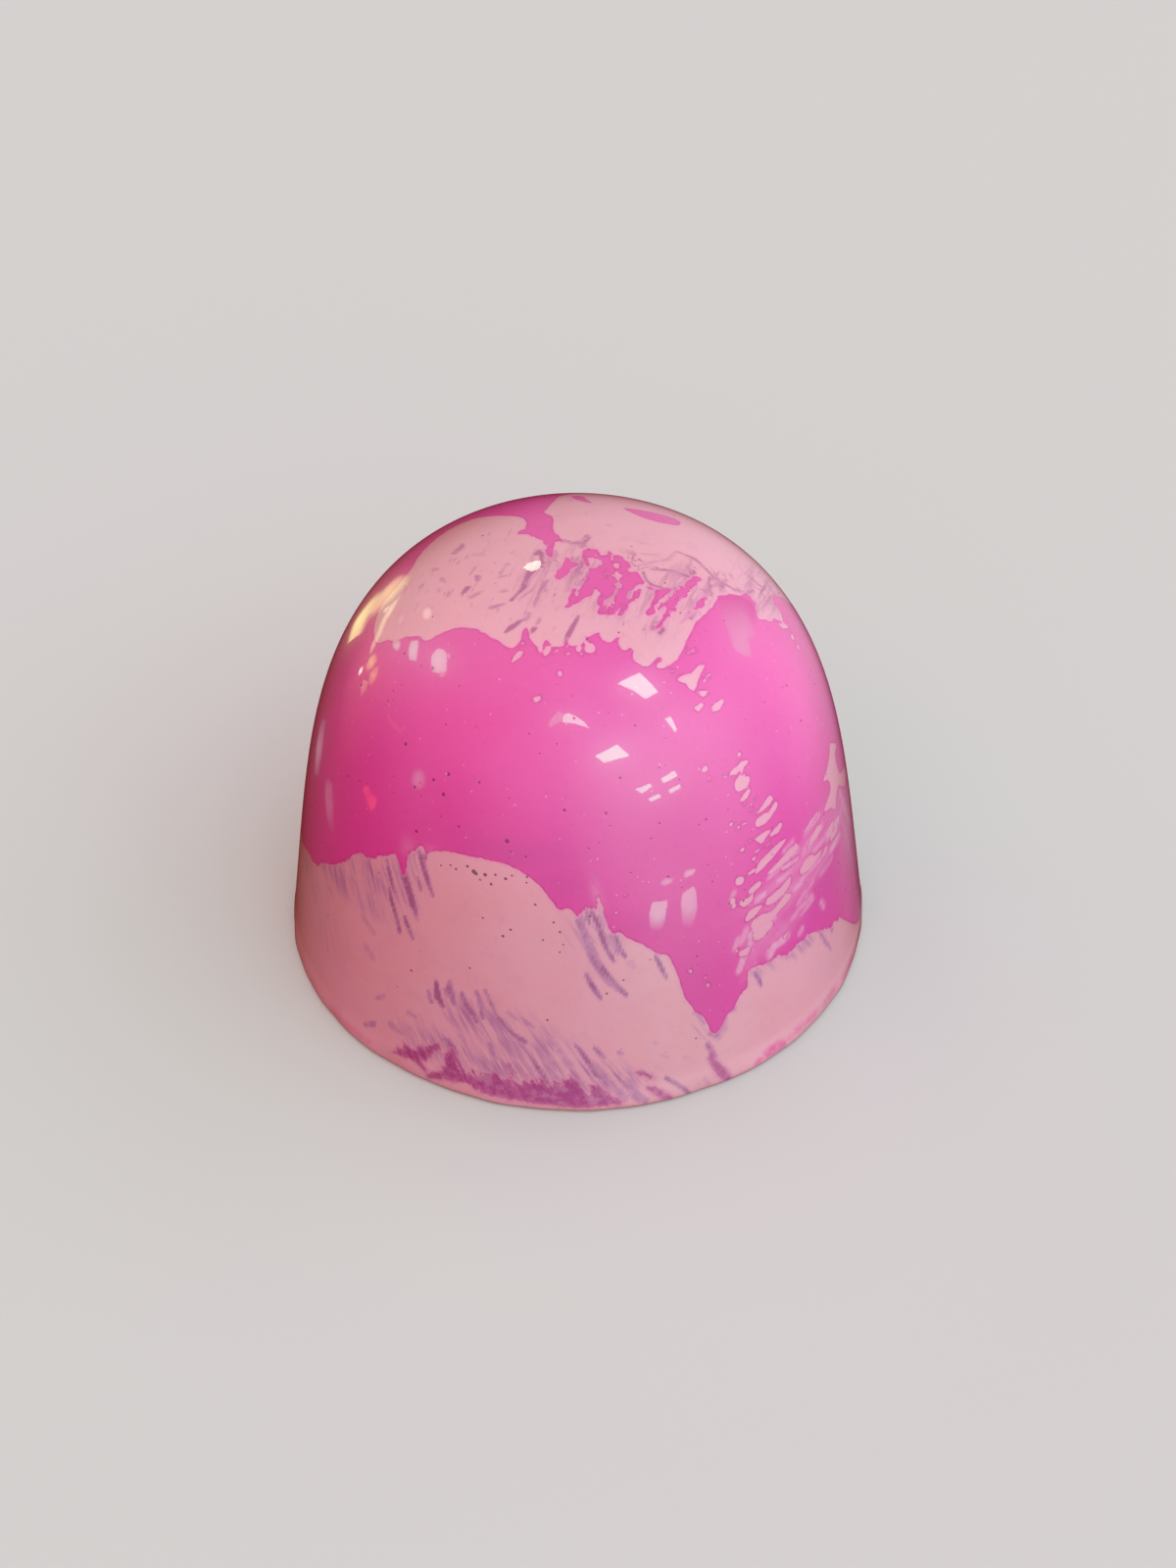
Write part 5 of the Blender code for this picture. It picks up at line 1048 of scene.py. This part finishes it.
# ------------------------------------------------------------------ light
def toward(az, up):
    a, e_ = math.radians(az), math.radians(up)
    return Vector((math.sin(a) * math.cos(e_), -math.cos(a) * math.cos(e_), math.sin(e_)))


def mirror(az, s):
    """From a point on the shell: where it is and which way it reflects the camera's view, in metres."""
    p = Vector(surface(az, s) * MM)
    nrm = Vector(normal(az, np.array(s)))
    view = (p - eye).normalized()
    return p, (view - 2.0 * view.dot(nrm) * nrm).normalized()


# broad soft light from each side: (way it comes from, where it starts and where it's full, colour)
SOFT_LIGHT = [
    (toward(0, 12), 0.55, 1.0, (0.55, 0.44, 0.59)), (toward(45, 12), 0.55, 1.0, (0.64, 1.04, 0.87)), (toward(90, 12), 0.55, 1.0, (0.84, 0.50, 0.80)),
    (toward(135, 12), 0.55, 1.0, (0.80, 0.68, 0.76)), (toward(180, 12), 0.55, 1.0, (0.10, 0.0, 0.0)), (toward(-135, 12), 0.55, 1.0, (0.05, 0.08, 0.0)),
    (toward(-90, 12), 0.55, 1.0, (0.12, 0.0, 0.0)), (toward(-45, 12), 0.55, 1.0, (0.40, 0.16, 0.16)), (toward(0, 50), 0.55, 1.0, (0.21, 0.23, 0.29)),
    (toward(45, 50), 0.55, 1.0, (0.34, 0.47, 0.48)), (toward(90, 50), 0.55, 1.0, (0.28, 0.22, 0.36)), (toward(180, 50), 0.55, 1.0, (0.07, 0.14, 0.09)),
    (toward(-135, 50), 0.55, 1.0, (0.43, 0.45, 0.51)), (toward(-90, 50), 0.55, 1.0, (0.43, 0.27, 0.25)), (toward(-45, 50), 0.55, 1.0, (0.38, 0.07, 0.17)),
    ((0, 0, 1), 0.55, 1.0, (0.09, 0.15, 0.14)), ((0, 0, -1), -0.1, 0.9, (0.13, 0.02, 0.0)), ((0.367, -0.676, 0.639), 0.88, 1.0, (0.0, 0.0, 0.12)),
    ((-0.894, 0.440, 0.080), 0.90, 1.0, (0.36, 0.15, 0.13)), ((0.909, 0.417, 0.001), 0.90, 1.0, (0.16, 0.0, 0.0)),
]


def soft_dome():
    """A plain studio dome: brightest low on the right, dimmer and warmer on the left."""
    world = bpy.data.worlds.new("studio")
    bpy.context.scene.world = world
    world.use_nodes = True
    tree = world.node_tree
    n = Nodes(tree)
    background = tree.nodes["Background"]
    way = n.add("ShaderNodeTexCoord").outputs["Generated"]
    total = None
    for direction, lo, hi, colour in SOFT_LIGHT:
        amount = n.step(n.vec("DOT_PRODUCT", way, tuple(Vector(direction).normalized())), lo, hi)
        part = n.vec("SCALE", colour, scale=amount)
        total = part if total is None else n.vec("ADD", total, part)
    n.put(background.inputs["Color"], total)
    background.inputs["Strength"].default_value = 1.0


soft_dome()


class Cards:
    """Small lit cards round the studio, cut so that their mirror images lie on the shell at the given points. Points
    are (azimuth, mm up).
    """

    DISTANCE = 0.45
    COOL = (0.32, 1.0, 0.68)  # over a pink this saturated, the light that comes out white

    def __init__(self):
        self.points, self.faces, self.light = [], [], []

    def spot(self, az, s, level, colour):
        p, way = mirror(az, s)
        self.points.append(tuple(p + way * self.DISTANCE))
        self.light.append(tuple(level * c for c in colour))
        return len(self.points) - 1

    def shape(self, outline, level, colour=COOL, centre=None):
        """A card with this outline; a point may bring its own level, and centre is the level in the middle."""
        rim = [self.spot(p[0], p[1], p[2] if len(p) > 2 else level, colour) for p in outline]
        self.points.append(tuple(sum((Vector(self.points[i]) for i in rim), Vector()) / len(rim)))
        self.light.append(tuple((level if centre is None else centre) * c for c in colour))
        middle = len(self.points) - 1
        for a, b in zip(rim, rim[1:] + rim[:1]):
            self.faces.append((middle, a, b))

    def glow(self, az, s, rx, ry, level, colour=COOL, turn=0.0):
        """A soft round light of radii rx, ry in mm."""
        x, y = (S_MAX - s) * math.sin(math.radians(az)), -(S_MAX - s) * math.cos(math.radians(az))
        c, t_ = math.cos(math.radians(turn)), math.sin(math.radians(turn))
        rings = []
        for size, part in ((0.5, 0.72), (1.0, 0.0)):
            ring = []
            for k in range(14):
                u, v = rx * size * math.cos(2 * math.pi * k / 14), ry * size * math.sin(2 * math.pi * k / 14)
                ring.append(self.spot(*from_crown(x + u * c - v * t_, y + u * t_ + v * c), level * part, colour))
            rings.append(ring)
        middle = self.spot(az, s, level, colour)
        for k in range(14):
            j = (k + 1) % 14
            self.faces.append((middle, rings[0][k], rings[0][j]))
            self.faces.append((rings[0][k], rings[1][k], rings[1][j]))
            self.faces.append((rings[0][k], rings[1][j], rings[0][j]))

    def streak(self, path, colour=COOL):
        """A soft ribbon of light through (azimuth, mm up, half width in mm, level) points."""
        at = np.array([((S_MAX - s) * math.sin(math.radians(az)), -(S_MAX - s) * math.cos(math.radians(az))) for az, s, *_ in path])
        run = np.gradient(at, axis=0)
        run /= np.linalg.norm(run, axis=1)[:, None]
        aside = np.stack([-run[:, 1], run[:, 0]], -1)
        rows = []
        for (x, y), (nx, ny), (_, _, half, level) in zip(at, aside, path):
            rows.append([self.spot(*from_crown(x + nx * half * k, y + ny * half * k), level * part, colour) for k, part in ((-1, 0.0), (-0.4, 0.85), (0.4, 0.85), (1, 0.0))])
        for a, b in zip(rows, rows[1:]):
            for k in range(3):
                self.faces.append((a[k], a[k + 1], b[k + 1]))
                self.faces.append((a[k], b[k + 1], b[k]))

    def build(self):
        # a dim backdrop beyond the shell, so that its outline doesn't mirror blackness
        first = len(self.points)
        for i, j in ((-1, -1), (1, -1), (1, 1), (-1, 1)):
            self.points.append(tuple(look * self.DISTANCE + right_ * 0.09 * i + up_v * 0.09 * j))
            self.light.append((0.50, 0.17, 0.30))
        self.faces.append((first, first + 1, first + 2, first + 3))
        card_mesh = bpy.data.meshes.new("light_cards")
        card_mesh.from_pydata(self.points, [], self.faces)
        glow_ = card_mesh.attributes.new("glow", "FLOAT_VECTOR", "POINT")
        glow_.data.foreach_set("vector", np.array(self.light, np.float32).ravel())
        material = bpy.data.materials.new("light_card")
        material.use_nodes = True
        tree = material.node_tree
        tree.nodes.clear()
        n = Nodes(tree)
        emission = n.add("ShaderNodeEmission")
        n.put(emission.inputs["Color"], n.attribute("glow", True))
        output = n.add("ShaderNodeOutputMaterial")
        n.put(output.inputs["Surface"], emission.outputs[0])
        card_mesh.materials.append(material)
        obj = bpy.data.objects.new("light_cards", card_mesh)
        bpy.context.scene.collection.objects.link(obj)
        obj.visible_camera = obj.visible_diffuse = obj.visible_transmission = obj.visible_shadow = False
        return obj


cards = Cards()
cards.shape([(14.31, 21.462), (22.78, 21.728), (26.22, 20.646), (21.59, 20.514), (18.66, 21.0)], 12.0)
cards.shape([(5.15, 18.406), (11.03, 18.795), (13.87, 18.23), (10.56, 18.165), (7.30, 18.07)], 12.0)
cards.shape([(25.46, 19.468), (27.28, 19.475), (27.86, 18.872), (26.99, 18.735)], 12.5)
cards.shape([(20.49, 16.977), (24.23, 17.17), (24.56, 16.885), (20.86, 16.747)], 11.5)
cards.shape([(21.65, 16.419), (24.70, 16.527), (24.81, 16.354), (22.06, 16.219)], 10.0)
cards.shape([(13.96, 16.752), (17.57, 16.898), (18.10, 16.71), (15.35, 16.512)], 11.0)
cards.shape([(16.66, 16.241), (19.33, 16.351), (19.86, 16.188), (17.21, 16.072)], 11.0)
cards.shape([(-3.36, 20.041), (-2.76, 20.259), (-1.56, 20.304), (0.74, 20.126), (2.76, 19.885), (4.07, 19.597), (2.70, 19.689), (0.35, 19.831), (-3.22, 19.892)], 9.6)
cards.shape([(-7.12, 19.799), (-4.20, 20.335), (-2.96, 20.258), (-3.40, 19.96), (-6.69, 19.641)], 3.2)
cards.streak([(-7.15, 19.859, 0.05, 3.0), (-5.6, 20.12, 0.06, 6.0), (-4.13, 20.374, 0.04, 4.0)])
cards.streak([(-7.07, 19.705, 0.05, 4.0), (-5.3, 19.89, 0.07, 6.0), (-3.51, 20.066, 0.05, 6.0)])
cards.shape([(-52.28, 21.002), (-52.42, 21.434), (-49.45, 21.55), (-47.16, 21.412), (-43.57, 20.786), (-45.72, 20.546), (-48.54, 20.465)], 5.6, centre=7.4)
cards.glow(-46.39, 21.436, 0.12, 0.22, 5.0)
cards.glow(-44.21, 20.57, 0.22, 0.12, 5.0)
cards.shape([(-63.49, 20.764), (-61.33, 21.067), (-59.07, 20.889), (-55.76, 20.373), (-58.36, 20.186), (-60.82, 20.378)], 4.6, centre=6.4)
cards.shape([(-69.27, 20.027), (-67.39, 20.398), (-65.04, 20.253), (-64.81, 20.007), (-67.38, 19.927)], 3.0, centre=5.4)
cards.shape([(66.64, 21.872, 1.6), (77.06, 21.03, 1.2), (72.28, 20.387, 1.6), (69.86, 20.106, 1.8), (67.09, 20.379, 2.4), (62.17, 19.732, 2.4), (60.54, 19.979, 2.9), (58.79, 20.429, 3.0), (59.34, 20.699, 2.9), (63.44, 21.385, 2.2)], 2.6, centre=2.7)
cards.shape([(74.25, 22.432, 0.5), (82.14, 21.626, 0.3), (83.32, 20.72, 0.2), (73.92, 20.326, 0.8), (77.06, 21.03, 1.2), (66.64, 21.872, 1.6)], 0.9)
cards.shape([(-70.61, 26.942), (-75.71, 27.183), (-77.25, 27.523), (-75.36, 27.769), (-65.85, 27.741), (-57.79, 27.54), (-58.14, 27.139), (-64.10, 27.018)], 8.5, (0.9, 1.0, 0.75))
cards.shape([(15.30, 11.353), (18.64, 11.219), (17.98, 10.5, 5.4), (17.55, 10.11, 2.2), (16.9, 9.75, 0.2), (14.71, 9.81, 0.2), (14.55, 10.3, 3.0), (14.6, 10.8)], 6.0, centre=7.0)
cards.shape([(21.87, 11.375), (24.30, 11.558), (24.84, 11.329), (24.77, 10.393, 4.0), (23.87, 9.894, 2.0), (23.01, 9.391, 0.2), (21.33, 9.673, 0.8), (21.36, 10.45, 3.6), (21.34, 10.901)], 5.4, centre=5.6)
cards.shape([(17.12, 12.217), (18.33, 12.418), (20.17, 12.313), (19.80, 12.087), (18.02, 12.026)], 3.2, centre=6.0)
cards.shape([(22.32, 12.262), (23.06, 12.48), (24.72, 12.468), (25.32, 12.36), (24.76, 12.177), (22.98, 12.113)], 4.4, centre=6.5)
cards.glow(-69.0, 22.087, 0.32, 0.55, 4.0, (1.0, 0.97, 0.75), 10)
cards.streak([(-77.5, 21.2, 0.18, 0.4), (-75.0, 20.86, 0.3, 1.4), (-72.2, 20.6, 0.2, 0.5)], (1.0, 0.95, 0.9))
GOLD = (0.95, 1.0, 0.36)
cards.streak([(-86.67, 17.883, 0.9, 2.6), (-92.3, 18.367, 1.1, 2.6), (-93.24, 18.957, 1.1, 2.2), (-92.15, 19.692, 1.1, 2.0), (-92.95, 20.32, 1.1, 2.8), (-95.67, 20.976, 1.0, 2.2), (-97.51, 21.269, 0.7, 0.8)], GOLD)
cards.streak([(-73.5, 18.75, 0.10, 1.6), (-75.17, 19.055, 0.25, 3.4), (-77.11, 19.567, 0.28, 3.0), (-80.81, 20.01, 0.3, 3.0), (-83.66, 20.491, 0.3, 3.6), (-87.45, 20.978, 0.25, 1.4)], (0.95, 1.0, 0.5))
cards.glow(-84.89, 20.381, 0.35, 0.5, 4.0, (1.0, 1.0, 0.8), 60)
cards.streak([(-72.4, 17.62, 0.14, 2.0), (-72.55, 17.86, 0.22, 9.0), (-72.67, 18.1, 0.12, 2.0)], (1.0, 1.0, 0.72))
cards.streak([(-70.95, 18.2, 0.3, 1.6), (-70.75, 18.6, 0.5, 4.6), (-70.4, 19.0, 0.4, 2.2)], (0.9, 0.9, 0.2))
cards.streak([(-65.6, 17.95, 0.25, 1.4), (-66.5, 18.38, 0.42, 4.0), (-67.2, 18.8, 0.3, 1.6)], (0.9, 0.8, 0.15))
cards.streak([(-66.14, 17.15, 0.2, 0.4), (-67.07, 17.535, 0.35, 2.0), (-67.9, 17.9, 0.4, 2.4)], (0.9, 0.9, 0.3))
cards.streak([(-53.6, 17.62, 0.2, 0.8), (-51.0, 17.48, 0.22, 1.6), (-48.4, 17.42, 0.22, 1.6), (-45.6, 17.34, 0.2, 0.5)], (1.0, 0.35, 0.1))
for az, s in ((-53.15, 17.68), (-51.4, 17.497), (-48.43, 17.403), (-47.15, 17.553)):
    cards.glow(az, s, 0.13, 0.17, 4.0, (1.0, 0.75, 0.5))
cards.streak([(-52.6, 14.1, 0.3, 2.2), (-52.45, 14.0, 0.4, 4.0), (-51.4, 13.804, 0.4, 2.4), (-48.9, 13.58, 0.55, 5.0), (-48.3, 13.5, 0.3, 2.2)], (1.0, 0.10, 0.0))
cards.glow(-38.2, 15.922, 0.6, 0.6, 2.4)
cards.streak([(-68.2, 12.3, 0.5, 0.1), (-66.6, 12.0, 0.8, 0.5), (-64.2, 11.2, 0.8, 0.5), (-62.0, 10.3, 0.5, 0.1)], (0.8, 0.9, 0.8))
cards.streak([(-79.0, 14.0, 0.8, 0.2), (-77.0, 12.6, 1.0, 0.6), (-75.0, 11.4, 0.8, 0.2)], (0.9, 0.9, 0.8))
cards.build()

scene = bpy.context.scene
scene.view_settings.view_transform = "Standard"
scene.view_settings.look = "None"
scene.view_settings.exposure = 0.0
scene.view_settings.gamma = 1.0
